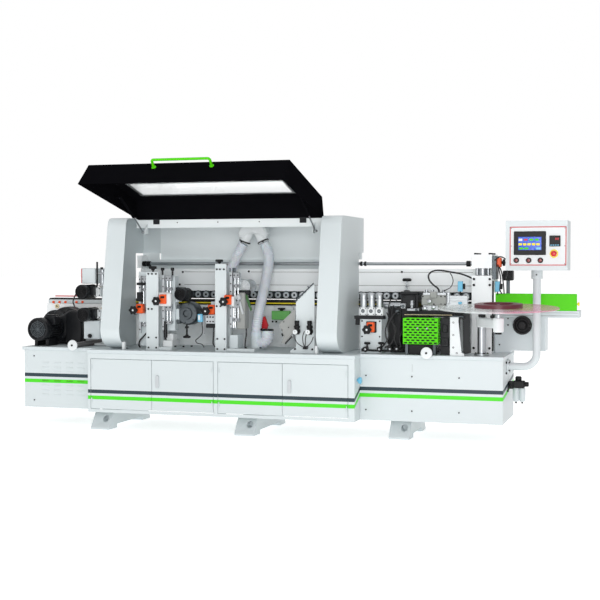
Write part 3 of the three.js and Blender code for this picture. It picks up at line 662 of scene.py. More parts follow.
boltRow("unit_one_hood_bolts", [(1300 + 66 * math.cos(a), 212, 845 + 66 * math.sin(a))
    for a in np.arange(6) * math.pi / 3 + 0.3], toFront, 8, "trim_head_1")
counter("unit_one_counter", 1156, 952, 96, "base", (1118, 938, 90))
piece("unit_one_counter_bracket", [brick((1182, 1216), (108, 138), (905, 990), 2),
    brick((1104, 1200), (126, 138), (900, 1000), 2)], "offWhite")
piece("unit_one_lower", [brick((1130, 1206), (160, 300), (603.5, 650), 2),
    brick((1140, 1200), (190, 262), (650, 696), 2)], "offWhite")
piece("unit_one_damper", [rod((1152, 160, 672), (1152, 160, 790), 13, 2),
    rod((1152, 160, 655), (1152, 160, 675), 8, 1, 20)], "blackGloss")
boltRow("unit_one_foot_bolts", [(1226, 168, 604), (1290, 168, 604), (1196, 240, 604), (1332, 220, 604)],
    toTop, 16)

# Rail plates of the end cutting unit, left of unit one
piece("end_unit_plate", [brick((925, 1004), (196, 222), (604, 1150), 2)], "grey")
verticalSlide("end_unit_slide", 934, 172, 700, 1120, "base", 18.0)
piece("end_unit_block", [brick((920, 962), (168, 196), (930, 1000), 3),
    brick((922, 990), (160, 190), (1050, 1070), 3)], "blackGloss")
piece("end_unit_case", [brick((938, 1012), (165, 240), (780, 846), 4)], "grey")
counter("end_unit_counter", 958, 880, 126, "base", (923, 869, 120))
lead("end_unit_lead", [(985, 200, 700), (960, 185, 668), (938, 180, 640), (930, 185, 610), (932, 200, 592)],
    30, 6)

# Sensor and small unit between the two plates
piece("blue_sensor", [brick((1391, 1429), (190, 214), (786, 844), 3)], "blue")
piece("blue_sensor_lens", [brick((1396, 1412), (188.4, 190.6), (800, 836), 1)], "offWhite")
lead("blue_sensor_lead", [(1418, 202, 787), (1426, 202, 740), (1420, 206, 700), (1392, 212, 672),
    (1366, 216, 650), (1372, 222, 632), (1410, 226, 622), (1424, 228, 606), (1424, 230, 598)], 60, 3.2, 8)
piece("sensor_bracket", [brick((1424, 1560), (206, 214), (830, 842)),
    brick((1428, 1440), (206, 214), (700, 832))], "steel")
counter("middle_counter", 1496, 877, 186, "base", (1465, 866, 180))
piece("middle_block", [brick((1447, 1524), (200, 262), (772, 842), 4)], "aluminium")
piece("middle_block_foot", [brick((1453, 1530), (196, 260), (744, 774), 4)], "blackGloss")
boltRow("middle_block_bolts", [(x, 200, z) for x in (1464, 1486, 1508) for z in (790, 822)], toFront, 11)
lead("middle_lead", [(1505, 222, 746), (1507, 210, 700), (1508, 200, 660), (1512, 190, 630),
    (1530, 180, 611), (1556, 172, 604), (1590, 166, 600)], 50, 5.0)
piece("middle_port_collar", [rod((1488, 395, 926), (1488, 395, 950), 42, 2, 40)], "blackPlastic")

# Trimming unit two
boltRow("unit_two_bolts", [(x, 112, 1168) for x in (1573, 1596, 1626)]
    + [(x, 112, z) for x in (1575, 1630) for z in (599, 671)] + [(1571, 112, 905), (1600, 112, 905)],
    toFront, 13)
piece("unit_two_top_knob", [starKnob((1577, 150, 1213), toTop, 27, 26, 5),
    rod((1577, 150, 1190), (1577, 150, 1218), 7, 1, 16)], "blackPlastic")
verticalSlide("unit_two_slide", 1652, 150, 750, 1150, "trim_head_2")
headTwo = piece("unit_two_carriage", [brick((1648, 1722), (186, 262), (745, 1098), 3)], "grey",
    "trim_head_2")
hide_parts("trim_head_2")
piece("unit_two_column", [brick((1700, 1764), (168, 250), (742, 1002), 5)], "midGrey", "trim_head_2")
piece("unit_two_column_rods", [rod((x, 172, 748), (x, 172, 905), 7, 1, 16) for x in (1676, 1690)], "chrome",
    "trim_head_2")
barrelTwo, grilleTwo = motorShapes(1745, 1045, 196, 336, 50)
piece("unit_two_motor", barrelTwo, "aluminium", "trim_head_2")
piece("unit_two_motor_grille", grilleTwo, "offWhite", "trim_head_2")
piece("unit_two_motor_saddle", [brick((1684, 1798), (176, 214), (985, 1018), 8),
    brick((1690, 1716), (176, 214), (930, 990), 4)], "blackGloss", "trim_head_2")
piece("unit_two_pulley", [turned([(0, 2), (8, 2), (9, 0), (17, 0), (22, 6), (22, 20), (0, 20)],
    (1718, 150, 968), toBack, 32)], "aluminium", "trim_head_2")
piece("unit_two_guard", [slab([(1742, 1018), (1764, 1018), (1812, 880), (1800, 868)], "y", 182, 192)],
    "darkGreen", "trim_head_2")
piece("unit_two_fork", [slab([(1716, 940), (1732, 940), (1760, 850), (1744, 846)], "y", 158, 180, 2)],
    "aluminium", "trim_head_2")
piece("unit_two_red_bit", [rod((1619, 160, 1098), (1619, 160, 1124), 6, 1, 16)], "redPaint")
piece("unit_two_top_rods", [rod((x, 172, 1085), (x, 172, 1178), 5, 1, 12) for x in (1650, 1672)]
    + [rod((1684, 172, 1148), (1684, 172, 1178), 9, 2, 6)], "darkSteel", "trim_head_2")
counter("unit_two_counter", 1656, 952, 96, "base", (1636, 938, 90))
piece("unit_two_counter_bracket", [brick((1682, 1702), (110, 152), (905, 975), 2)], "offWhite")
piece("unit_two_lower", [brick((1650, 1716), (150, 262), (603.5, 700), 3)], "grey")
lead("unit_two_lead", [(1762, 200, 745), (1764, 196, 700), (1760, 190, 660), (1758, 186, 624),
    (1758, 186, 598)], 40, 5)
piece("red_cutter_guard", [slab([(1812, 736), (1866, 736), (1874, 760), (1850, 826), (1838, 822)], "y", 352,
    372, 2)], "redPaint")
boltRow("unit_two_foot_bolts", [(1700, 160, 604), (1770, 170, 604), (1870, 200, 604)], toTop, 16)

# Small green valve box on the track
piece("valve_box", [brick((1832, 1972), (560, 600), (792, 858), 4)], "paleGreen")
piece("valve_box_plate", [brick((1836, 1990), (600, 612), (770, 890), 2)], "offWhite")
piece("valve_box_knob", [starKnob((1906, 575, 862), toTop, 26, 18, 6),
    rod((1906, 575, 856), (1906, 575, 866), 10, 1, 16)]
    + [screw((1842, 560, 778), toFront, 14), screw((1870, 560, 778), toFront, 14)], "blackPlastic")
print("trimming units made")

# Press station
stations = (2614, 2671, 2729)
pressY = 262
pressBody = piece("press_front_plate", [brick((2596, 2747), (238, 250), (bedLevel, 822), 2),
    brick((2602, 2740), (250, 400), (bedLevel, 603), 2)], "grey")
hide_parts("press_unit")
cylinders = [turned([(0, 0), (23, 0), (24, 3), (24, 60), (21, 62), (21, 66), (24, 68), (24, 92), (20, 99),
    (9, 103), (0, 103)], (x, pressY, 902), toTop, 32) for x in stations]
piece("press_cylinders", cylinders, "aluminium")
piece("press_tie_rods", [rod((x, pressY - 24, 903), (x, pressY - 24, 996), 4, 0.8, 10)
    for x in (2643, 2700, 2590, 2754)], "blackPlastic", "base")
piece("press_blocks", [brick((x - 27, x + 27), (236, 290), (846, 904), 4) for x in stations], "offWhite",
    "base")
holes = [turned([(3, -1), (10, -1), (11, -2), (13, -2), (13, 1), (3, 1), (3, -1)], (x, 236, 878), toBack,
    24) for x in stations]
piece("press_ports", holes + [screw((x + k, 236, z), toFront, 7) for x in stations for k in (-19, 19)
    for z in (855, 895)], "darkSteel")
piece("press_shelf", [brick((2552, 2762), (230, 304), (822, 845), 2),
    brick((2560, 2590), (232, 246), (780, 822), 2)], "blackGloss")
counter("press_counter", 2676, 767, 192, "base", (2659, 751, 186))
piece("press_counter_bracket", [brick((2640, 2712), (224, 238), (728, 806), 3)], "blackGloss")
boltRow("press_plate_bolts", [(x, 238, z) for x in (2608, 2734) for z in (600, 700, 808)], toFront, 11)

# Air valves with their wing handles, and the loose leads
valves = [(2645, 196, 615), (2745, 196, 617), (2816, 210, 619), (2862, 220, 620)]
valveShapes = []
for x, y, z in valves:
    valveShapes += [starKnob((x, y, z), toFront, 19, 24, 5), rod((x, y - 4, z), (x, y + 40, z), 12, 2, 20),
                    brick((x - 12, x + 12), (y + 4, y + 30), (z - 16, z + 16), 4)]
for x, z in ((2652, 655), (2752, 657)):
    valveShapes += [brick((x - 22, x + 22), (196, 216), (z - 8, z + 9), 6),
        rod((x, 206, 630), (x, 206, z), 6, 1, 12)]
piece("air_valves", valveShapes, "blackPlastic")
piece("valve_stems", [turned([(0, 0), (7, 0), (7, 3), (4, 5), (0, 5)], (x, y - 24, z), toFront, 16)
    for x, y, z in valves], "steel")
piece("valve_pipe", [tube(smoothPath([(2610, 214, 612), (2680, 210, 606), (2780, 214, 606),
    (2880, 226, 606), (2908, 240, 612)], 40), 7, 12)], "blackPlastic")
leadRoutes = [
    [(2790, 330, 960), (2782, 300, 900), (2790, 270, 830), (2772, 250, 740), (2790, 245, 660),
        (2812, 236, 632)],
    [(2830, 340, 950), (2806, 300, 880), (2822, 270, 800), (2838, 255, 720), (2812, 245, 650),
        (2770, 232, 625)],
    [(2770, 300, 865), (2800, 262, 820), (2846, 250, 760), (2836, 245, 690), (2856, 240, 640)],
    [(2850, 320, 870), (2826, 262, 850), (2792, 250, 780), (2796, 244, 700), (2762, 236, 640),
        (2740, 226, 622)],
    [(2880, 330, 800), (2886, 268, 740), (2872, 250, 690), (2880, 244, 640), (2866, 236, 612)],
]
piece("machine_leads", [tube(smoothPath(route, 60), 4.5 + i % 2 * 1.5)
    for i, route in enumerate(leadRoutes)], "cable")

# Glue pot and its linkage
piece("glue_pot_cap", [brick((2846, 2980), (374, 562), (990, 1012), 6),
    brick((2866, 2960), (366, 384), (900, 986), 5)], "blackGloss")
piece("glue_pot_linkage", [brick((2858, 2896), (340, 378), (892, 930), 4),
    brick((2902, 2990), (346, 380), (876, 896), 3), rod((2790, 330, 920), (2864, 330, 920), 16, 2, 28),
    rod((2740, 330, 915), (2792, 330, 915), 23, 3, 32), brick((2930, 2950), (338, 378), (896, 952), 3),
    rod((2942, 326, 925), (2942, 380, 925), 12, 2)], "steel")
piece("glue_pot_joints", [rod((x, 322, z), (x, 346, z), r, 2)
    for x, z, r in ((2765, 915, 15), (2878, 911, 11), (2972, 886, 9), (2826, 920, 20), (2840, 870, 16))],
    "darkSteel")
boltRow("glue_pot_bolts", [(x, 374, z) for x in (2856, 2968) for z in (730, 820)]
    + [(2880, 366, 975), (2946, 366, 975)], toFront, 11)
piece("clamp_screw", [turned([(0, 0), (28, 0), (32, 5), (32, 16), (24, 22), (0, 22)], (2859, 550, 1082),
    toTop, 32, (12, 0.03)), turned([(0, 0), (22, 0), (24, 4), (20, 10), (0, 10)], (2859, 550, 1008), toTop,
    32)], "blackPlastic")
piece("clamp_screw_stem", [rod((2859, 550, 1008), (2859, 550, 1084), 7, 1, 16),
    rod((2859, 550, 1040), (2859, 550, 1052), 12, 1.5, 6)], "steel")

# Tape magazine and cutter details
piece("magazine_plates", [brick((3004, 3176), (368, 382), (916, 990), 3),
    brick((3004, 3050), (360, 372), (920, 962), 3), brick((3064, 3112), (356, 372), (968, 1014), 4),
    brick((3118, 3168), (360, 384), (884, 926), 4)], "midGrey")
piece("magazine_rollers", [rod((x, y, 1004), (x, y, 1026), 11, 1.5)
    for x, y in ((3030, 410), (3072, 402), (3150, 412))]
    + [turned([(0, 0), (13, 0), (15, 3), (15, 12), (12, 14), (0, 14)], (x, 356, z), toFront, 24)
    for x, z in ((3026, 896), (3088, 905), (3060, 946))], "steel")
boltRow("magazine_bolts", [(x, 368, z) for x in (3012, 3090, 3140, 3168) for z in (926, 980)]
        + [(3046, 420, 1006), (3110, 470, 1006), (3128, 440, 1006)], toFront, 10)
piece("tape_guides", [brick((3178, 3330), (392, 402), (944, 952), 1),
    brick((3178, 3330), (392, 402), (968, 976), 1), brick((3180, 3196), (386, 410), (930, 1010), 2)],
    "aluminium")
piece("blue_fitting", [rod((3258, 384, 934), (3282, 384, 934), 9, 2, 20)], "blue")
for label, x, z, y in (("near", 3268, 1050, 396), ("far", 3519, 1050, 450)):
    piece("sensor_head_" + label, [brick((x - 17, x + 17), (y, y + 24), (z - 36, z + 36), 3)], "blue")
    piece("sensor_bracket_" + label, [brick((x + 17, x + 34), (y + 4, y + 20), (z - 20, z + 20), 4),
        rod((x, y + 12, z - 60), (x, y + 12, z - 34), 4, 1, 10)], "blackPlastic")
piece("cutter_bracket_bolts", [screw((x, 170, z), toFront, 14)
    for x, z in ((3262, 810), (3262, 725), (3262, 640), (3286, 603))], "blackPlastic", "base")
piece("cutter_post", [slab([(3239, bedLevel), (3335, bedLevel), (3335, 600), (3318, 606), (3296, 820),
    (3298, 846), (3239, 846)], "y", 163, 170)], "offWhite")
piece("tape_chute", [slab([(3324, 600), (3338, 596), (3376, 604), (3370, 700), (3368, 868), (3318, 870)],
    "y", 196, 206, 2)], "blackGloss")
piece("cutter_post_cap", [brick((3236, 3333), (163, 232), (846.2, 853), 2)], "darkSteel")
piece("cutter_case_details", [brick((3166, 3216), (240, 252), (640, 700), 3),
    brick((3172, 3208), (238, 252), (735, 790), 4), rod((3186, 236, 668), (3186, 252, 668), 12, 2)],
    "blackGloss")
piece("pillar_cover_strip", [brick((3482.5, 3492), (446, 470), (600, 1090))], "blackPlastic")

# Perforated guard: every cell runs from a slot's outline out to the cell's own edge
guard = {
    "x": (2911, 3154),
    "y": (180, 320),
    "z": (657, 835),
    "cell": (34.0, 17.0),
    "slot": (25.0, 10.5),
    "sheet": 2.5,
}


# point(u, v) = hole(v) + u (edge(v) - hole(v)), with v round twelve shared edge points.
def slotCell(centre, cell, hole):
    w, h = cell[0] / 2, cell[1] / 2
    edgePoints = np.array([(w, 0), (w, h), (w / 2, h), (0, h), (-w / 2, h), (-w, h), (-w, 0), (-w, -h),
        (-w / 2, -h), (0, -h), (w / 2, -h), (w, -h)])
    r = hole[1] / 2
    a = np.arctan2(edgePoints[:, 1] / h, edgePoints[:, 0] / w)
    slotPoints = np.column_stack([np.sign(np.round(np.cos(a), 6)) * (hole[0] / 2 - r) + r * np.cos(a),
        r * np.sin(a)])
    rings = np.concatenate([slotPoints, edgePoints]) + centre
    return rings, gridFaces(2, 12)


# Rows of slotted cells, every other row moved half a cell, with plain half cells at its ends.
def perforated(width, height, cell, hole):
    shapes = []
    columns, rows = int(round(width / cell[0])), int(round(height / cell[1]))
    cell = (width / columns, height / rows)
    for row in range(rows):
        z = (row + 0.5) * cell[1]
        shift = 0.5 * (row % 2)
        for column in range(columns - (row % 2)):
            shapes.append(slotCell(((column + 0.5 + shift) * cell[0], z), cell, hole))
        if row % 2:
            for x0, x1 in ((0, cell[0] / 2), (width - cell[0] / 2, width)):
                corners = np.array([(x0, z - cell[1] / 2), ((x0 + x1) / 2, z - cell[1] / 2),
                    (x1, z - cell[1] / 2), (x1, z), (x1, z + cell[1] / 2), ((x0 + x1) / 2, z + cell[1] / 2),
                    (x0, z + cell[1] / 2), (x0, z)])
                shapes.append((corners, [list(range(8))]))
    return joinShapes(shapes)


# Open panels in one mesh, merged along their folds and given the sheet's thickness.
def sheetPiece(name, panels, thickness, finish, body):
    points, faces = joinShapes(panels)
    mesh = bpy.data.meshes.new(name)
    mesh.from_pydata(place(points), [], faces)
    work = bmesh.new()
    work.from_mesh(mesh)
    bmesh.ops.remove_doubles(work, verts=work.verts, dist=2e-5)
    bmesh.ops.recalc_face_normals(work, faces=work.faces)
    work.to_mesh(mesh)
    work.free()
    mesh.materials.append(finishes[finish])
    made = bpy.data.objects.new(name, mesh)
    bpy.context.scene.collection.objects.link(made)
    wall = made.modifiers.new("sheet", "SOLIDIFY")
    wall.thickness = thickness * mm
    wall.offset = 0
    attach(made, body)
    return made


flat, flatFaces = perforated(guard["x"][1] - guard["x"][0], guard["z"][1] - guard["z"][0], guard["cell"],
    guard["slot"])
front = np.column_stack([flat[:, 0] + guard["x"][0], np.full(len(flat), guard["y"][0] + 1.3),
    flat[:, 1] + guard["z"][0]])
sideFlat, sideFaces = perforated(guard["y"][1] - guard["y"][0], guard["z"][1] - guard["z"][0],
    (35.0, guard["cell"][1]), guard["slot"])
panels = [(front, flatFaces)]
for x in (guard["x"][0] + 1.3, guard["x"][1] - 1.3):
    panels.append((np.column_stack([np.full(len(sideFlat), x), sideFlat[:, 0] + guard["y"][0] + 1.3,
        sideFlat[:, 1] + guard["z"][0]]), sideFaces))
guardPiece = sheetPiece("perforated_guard", panels, guard["sheet"], "green", "base")
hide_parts("glue_guard")
piece("guard_top", [brick((2911, 3154), (180, 320), (832, 835), 1)], "green")
piece("guard_legs", [brick((x, x + 20), (184, 190), (bedLevel, 660)) for x in (2926, 3118)], "darkSteel")
lead("thin_lead", [(3196, 404, 1142), (3212, 398, 1118), (3219, 394, 1085), (3204, 392, 1046),
    (3176, 392, 1028), (3150, 396, 1016)], 40, 3.2, 8)
piece("guard_screws", [screw((x, 180, 766), toFront, 14) for x in (3012, 3078)], "steel")
piece("guard_lining", [brick((2916, 3149), (196, 200), (662, 828), 1),
    brick((2946, 3118), (200, 330), (584, 655), 4)], "blackPlastic")
piece("tape_bed", [brick((2892, 3236), (300, 372), (846, 862), 2),
    brick((2976, 3300), (372, 398), (838, 880), 2), brick((3010, 3068), (330, 402), (600, 846), 3)],
    "blackGloss")
piece("tape_bed_lip", [brick((2896, 3232), (296, 300), (852, 856), 0.8)], "buff")
print("right section made")

# Tape coil, its plate and the post
coil = {"hub": (3588, 0), "height": 881.0, "tilt": 2.4, "plate": 393.0, "outer": 157.0, "inner": 98.0}
tilt = math.radians(coil["tilt"])


# Turns a shape drawn round the hub about X by the tilt and lifts it to the hub's place.
def onCoil(shape):
    points, faces = shape
    turn = np.array([[1, 0, 0], [0, math.cos(tilt), -math.sin(tilt)], [0, math.sin(tilt), math.cos(tilt)]])
    return points @ turn.T + [*coil["hub"], coil["height"]], faces


plate = piece("coil_disc", [onCoil(turned([(31, 33), (31, 31), (coil["plate"] - 2, 31), (coil["plate"], 33),
    (coil["plate"], 37), (coil["plate"] - 2, 39), (31, 39), (31, 33)], (0, 0, 0), toTop, 120))], "milky",
    "coil")
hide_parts("coil_plate")
piece("coil_hub", [onCoil(turned([(0, -2), (30, -2), (30.8, 0), (30.8, 39), (24, 42), (16, 46), (16, 56),
    (12, 58), (0, 58)], (0, 0, 0), toTop, 40))], "aluminium", "coil")
ripple = [(r, 64.2 + 0.9 * (i % 2)) for i, r in enumerate(np.linspace(coil["inner"], coil["outer"], 31))]
ring = [(coil["outer"], 39.5), (coil["inner"], 39.5)] + ripple + [(coil["outer"], 39.5)]
coilPiece = piece("wound_tape", [onCoil(turned(ring, (0, 0, 0), toTop, 96))], "tape", "coil", angle=60)
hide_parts("tape_coil")
armRun = np.array([3588.0 - 3440.0, 0.0 - 260.0])
armRun /= np.linalg.norm(armRun)
armSide = np.array([-armRun[1], armRun[0]]) * 36
armCorners = [np.array([3440.0, 260.0]) - armSide, np.array([3588.0, 0.0]) - armSide,
    np.array([3588.0, 0.0]) + armSide, np.array([3440.0, 260.0]) + armSide]
post = piece("coil_arm", [slab(armCorners, "z", 782, 842, 8),
    rod((3440, 260, 777), (3440, 260, 850), 38, 4, 40), rod((3588, 0, 758), (3588, 0, 852), 35, 5, 40)],
    "offWhite", "base")
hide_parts("coil_post")
piece("coil_post_sleeve", [rod((3440, 260, 596), (3440, 260, 780), 29, 0.5, 40),
    rod((3440, 260, bedLevel), (3440, 260, 597), 52, 2, 40), rod((3588, 0, 850), (3588, 0, 877), 26, 2, 32)],
    "steel")
boltRow("coil_post_bolts", [(3440 + 41 * math.cos(a), 260 + 41 * math.sin(a), 597)
    for a in np.arange(6) * math.pi / 3], toTop, 12)
piece("coil_arm_details", [brick((3424, 3472), (200, 226), (846, 866), 4),
    brick((3524, 3572), (56, 84), (846, 868), 6), rod((3588, 0, 744), (3588, 0, 759), 22, 2, 32)],
    "blackPlastic")

# Lift column, head and counter
boltRow("column_bolts", [(x, 450, z) for x in (3356, 3466) for z in (1060, 1101)]
    + [(x, 450, 620) for x in (3356, 3466)], toFront, 17)
piece("head_jacks", [rod((x, 490, 1125), (x, 490, 1177), r, 2, 28)
    for x, r in ((3372, 12), (3411, 26), (3450, 12))], "steel", "pressure_beam")
boltRow("head_bolts", [(x, y, 1272) for x in (3362, 3463) for y in (470, 560, 680)], toTop, 20,
    "pressure_beam")
piece("head_side_plate", [brick((3482.5, 3512), (442, 560), (1100, 1262), 3)], "darkSteel", "pressure_beam")
piece("head_counter", [brick((3512, 3544), (452, 500), (1184, 1250), 6)], "orange", "pressure_beam")
piece("head_counter_knob", [starKnob((3544, 476, 1216), toRight, 24, 24, 6),
    rod((3556, 476, 1216), (3590, 476, 1216), 8, 1, 16)], "blackPlastic", "pressure_beam")
headLeads = [[(3530, 462, 1186), (3548, 440, 1150), (3560, 426, 1090), (3566, 424, 1040), (3568, 428, 1000)],
             [(3520, 450, 1200), (3532, 420, 1170), (3545, 420, 1100), (3540, 420, 1030), (3552, 426, 1000)],
             [(3500, 440, 1230), (3540, 420, 1256), (3584, 430, 1232), (3590, 444, 1180), (3576, 450, 1100)]]
piece("head_leads", [tube(smoothPath(route, 50), 4.5) for route in headLeads], "cable", "pressure_beam")
piece("beam_end_case", [brick((3540, 3610), (560, 640), (1090, 1160), 5),
    rod((3575, 552, 1125), (3575, 562, 1125), 22, 2, 28)], "blackPlastic")
piece("beam_end_case_post", [brick((3560, 3584), (600, 624), (884, 1092), 2)], "darkSteel")

# Infeed housing, handwheel and fence
boltRow("infeed_bolts", [(x, 560, z) for x, z in ((3579, 824), (3579, 779), (3544, 764), (3520, 640),
    (3800, 640), (3800, 800))], toFront, 11)
wheel = {"x": 3686, "z": 782, "front": 484}
wheelProfile = [(0, 6), (14, 6), (16, 0), (24, 0), (26, 8), (34, 12), (36, 9), (40, 9), (42, 13), (48, 14),
    (50, 4), (54, 0), (62, 0), (66, 5), (66, 14), (62, 19), (52, 19), (44, 24), (20, 28), (20, 48), (0, 48)]
handwheelPiece = piece("infeed_handwheel", [turned(wheelProfile, (wheel["x"], wheel["front"], wheel["z"]),
    toBack, 56), rod((wheel["x"], 530, wheel["z"]), (wheel["x"], 559, wheel["z"]), 12),
    turned([(0, 0), (7, 0), (10, 6), (9, 28), (6, 34), (0, 34)],
    (wheel["x"] + 52, wheel["front"] + 2, wheel["z"]), toFront, 24)], "blackPlastic", "handwheel")
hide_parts("handwheel")
piece("fence_end_knob", [starKnob((4051, 560, 930), toRight, 13, 16, 6)], "yellow")
piece("table_groove", [brick((3490, 4062), (543.6, 545.4), (z - 1.5, z + 1.5), 0.5) for z in (848, 868)],
    "midGrey")

# Control stand
poleSettings = {"x": 3797, "y": 372, "pipe": 505, "bend": 90.0, "radius": 26.5}
bendAngle = np.linspace(0, math.pi / 2, 14)
bendLine = np.column_stack([poleSettings["x"] - poleSettings["bend"] * (1 - np.sin(bendAngle)),
    np.full(14, poleSettings["y"]), poleSettings["pipe"] + poleSettings["bend"] * (1 - np.cos(bendAngle))])
straight = np.column_stack([np.linspace(3600.5, 3690, 8), np.full(8, poleSettings["y"]),
    np.full(8, poleSettings["pipe"])])
upright = np.column_stack([np.full(20, poleSettings["x"]), np.full(20, poleSettings["y"]),
    np.linspace(615, 1125, 20)])
pole = piece("stand_pipe", [tube(np.concatenate([straight, bendLine, upright]), poleSettings["radius"],
    36)], "white", angle=60)
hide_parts("control_pole")
piece("stand_flange", [rod((3600.4, 372, 505), (3612, 372, 505), 50, 2, 48)], "white")
boltRow("stand_flange_bolts", [(3612, 372 + 38 * math.cos(a), 505 + 38 * math.sin(a))
    for a in np.arange(4) * math.pi / 2 + 0.78], toRight, 11)
piece("stand_collar", [turned([(26.6, 0), (36, 0), (38, 2), (38, 55), (36, 57), (26.6, 57), (26.6, 0)],
    (3797, 372, 1105), toTop, 48)], "white")
piece("stand_collar_screw", [screw((3797, 334.5, 1133), toFront, 10)], "blackPlastic", "base")

panelFront = 150.0
piece("panel_plate", [brick((3644, 4005), (panelFront - 1.6, panelFront + 0.5), (1199, 1450), 0.6)],
    "offWhite", "control_box")
border = [brick((3640, 4009), (panelFront - 2.2, panelFront + 0.5), (z, z + 6), 0.6) for z in (1196, 1447)]
border += [brick((x, x + 6), (panelFront - 2.2, panelFront + 0.5), (1196, 1453), 0.6) for x in (3640, 4003)]
piece("panel_border", border, "redPaint", "control_box")
piece("screen_bezel", [brick((3667, 3877), (panelFront - 9, panelFront), (1265, 1422), 4)], "blackPlastic",
    "control_box")
piece("screen_glass", [brick((3697, 3848), (panelFront - 10.2, panelFront - 8), (1298, 1385), 0.6)],
    "screen", "control_box")
tiles = {
    "offWhite": [(3712, 1366, 12, 8)],
    "redPaint": [(3746, 1366, 12, 6)],
    "green": [(3782, 1366, 12, 6), (3818, 1366, 12, 6), (3716, 1309, 14, 6), (3750, 1309, 14, 6)],
    "yellow": [(3710 + 29 * k, 1336, 11, 7) for k in range(5)],
    "blue": [(3828, 1309, 14, 7)],
}
for tileFinish, places in tiles.items():
    piece("screen_tiles_" + tileFinish, [brick((x - w, x + w), (panelFront - 10.8, panelFront - 10),
        (z - h, z + h), 0.3) for x, z, w, h in places], tileFinish, "control_box")
piece("temperature_case", [brick((3899, 3971), (panelFront - 8, panelFront), (1321, 1393), 3)],
    "blackPlastic", "control_box")
piece("temperature_digits", [brick((3938 + 8 * k, 3943 + 8 * k), (panelFront - 8.8, panelFront - 7),
    (1364, 1378), 0.3) for k in range(3)], "redPaint", "control_box")
piece("temperature_keys", [brick((3906 + 15 * k, 3916 + 15 * k), (panelFront - 8.8, panelFront - 7),
    (1327, 1333), 0.3) for k in range(4)], "blue", "control_box")
boltRow("panel_screws", [(x, panelFront - 1.5, z) for x in (3650, 3999) for z in (1207, 1325, 1442)],
    toFront, 5, "control_box")
for number, (x, z) in enumerate([(3684, 1230), (3765, 1230), (3841, 1230)], 1):
    piece("button_%d_collar" % number, [turned([(11, 0), (18.5, 0), (18.5, 5), (16, 9), (11, 9), (11, 0)],
        (x, panelFront, z), toFront, 32)], "blackPlastic", "control_box")
    cap = piece("button_%d_cap" % number, [turned([(0, -16), (8, -16), (8, 5.4), (10.6, 5.4), (10.6, 11),
        (9.4, 12.6), (6, 13), (0, 13)], (x, panelFront, z), toFront, 32)], "redDark",
        "push_button_%d" % number)
    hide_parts("push_button_%d" % number)
piece("stop_ring", [turned([(20.5, 0), (28, 0), (28, 1.5), (25, 4.5), (20.5, 4.5), (20.5, 0)],
    (3929, panelFront, 1274), toFront, 48)], "yellow", "control_box")
stopHead = piece("stop_mushroom", [turned([(0, -16), (8, -16), (8, 10.2), (14, 10.4), (19, 14), (19, 19),
    (16.5, 23), (10, 26), (0, 27)], (3929, panelFront, 1274), toFront, 48)], "red", "emergency_stop")
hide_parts("emergency_stop")
piece("box_back_gland", [rod((3900, 399, 1210), (3900, 418, 1210), 14, 2)], "blackPlastic", "control_box")
piece("box_door_seam", [brick((3616, 4013), (390, 401.5), (z, z + 3), 1) for z in (1165, 1488)], "midGrey",
    "control_box")
print("coil and control stand made")

# Hood fittings: dust manifold, guard plate fittings, hinges
manifold = {"x": 1680, "y": 600, "spouts": [(1606, 600, 1366), (1758, 600, 1366)]}
fish = [(1622, 1540), (1738, 1540), (1772, 1490), (1800, 1436), (1786, 1402), (1720, 1420), (1682, 1432),
    (1640, 1420), (1578, 1402), (1562, 1436), (1590, 1490)]
fan = piece("dust_fishtail", [slab(fish, "y", 552, 648, 14),
    rod((1680, 600, 1500), (1680, 600, 1541), 70, 3, 40)]
    + [rod((manifold["x"] + s * 40, 600, 1450), end, 41, 2, 36)
    for s, end in zip((-1, 1), manifold["spouts"])], "offWhite", "base")
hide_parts("dust_manifold")
clampShapes = []
for s, end in zip((-1, 1), manifold["spouts"]):
    run = np.array(end, float) - np.array([manifold["x"] + s * 40, 600, 1450])
    run /= np.linalg.norm(run)
    clampShapes.append(turned([(41.2, -14), (44, -14), (44, -4), (41.2, -4), (41.2, -14)], end, run, 40))
    clampShapes.append(screw(np.array(end) + [s * 10, -43, 6], toFront, 12))
piece("hose_clamps", clampShapes, "blackPlastic")
# The rear strip takes the hood white brightened as painted light.
piece("hood_rear_strip", [brick((850.5, 2334.5), (748, 752), (1150, 1242), 1),
    brick((707, 850), (748, 752), (1150, 1294), 1), brick((2335, 2478), (748, 752), (1240, 1294), 1)],
    "hoodPaintedLightWhite")
piece("hood_light_bar", [brick((960, 2225), (690, 730), (1524, 1540), 4)], "offWhite")
for label, x in (("left", 1013), ("right", 2151)):
    piece("lid_hinge_leaf_" + label, [brick((x - 25, x + 25), (316, 321), (1500, 1540), 1.2),
        rod((x - 25, 313, 1538), (x + 25, 313, 1538), 6, 1, 20)], "blackGloss")
boltRow("hood_flange_bolts", [(x, 322, 1512) for x in (1180, 1500, 1820)], toFront, 8)
for label, x in (("left", 925), ("right", 2255)):
    piece("strut_eye_" + label, [rod((x - 13, 280, 1440), (x + 13, 280, 1440), 7, 1, 16)], "blackPlastic",
        "base")
cornerBrackets = [brick((850, 872), (60, 90), (bedLevel, 640), 3),
    brick((2313, 2334), (60, 90), (bedLevel, 640), 3)]
piece("wing_brackets", cornerBrackets, "offWhite")
handlePath = [(1373, -529, 1847), (1373, -562, 1886), (1380, -570, 1893.5), (1392, -571, 1894.5),
    (1579, -571, 1894.5), (1766, -571, 1894.5), (1778, -570, 1893.5), (1785, -562, 1886),
    (1785, -529, 1847)]
handleBends = np.concatenate([np.linspace(handlePath[i], handlePath[i + 1], 6)[:-1] for i in range(8)]
    + [[handlePath[-1]]])
grip = piece("lid_bar_handle", [tube(handleBends, 9.0, 20)], "green", "lid", angle=60)
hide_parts("lid_handle")
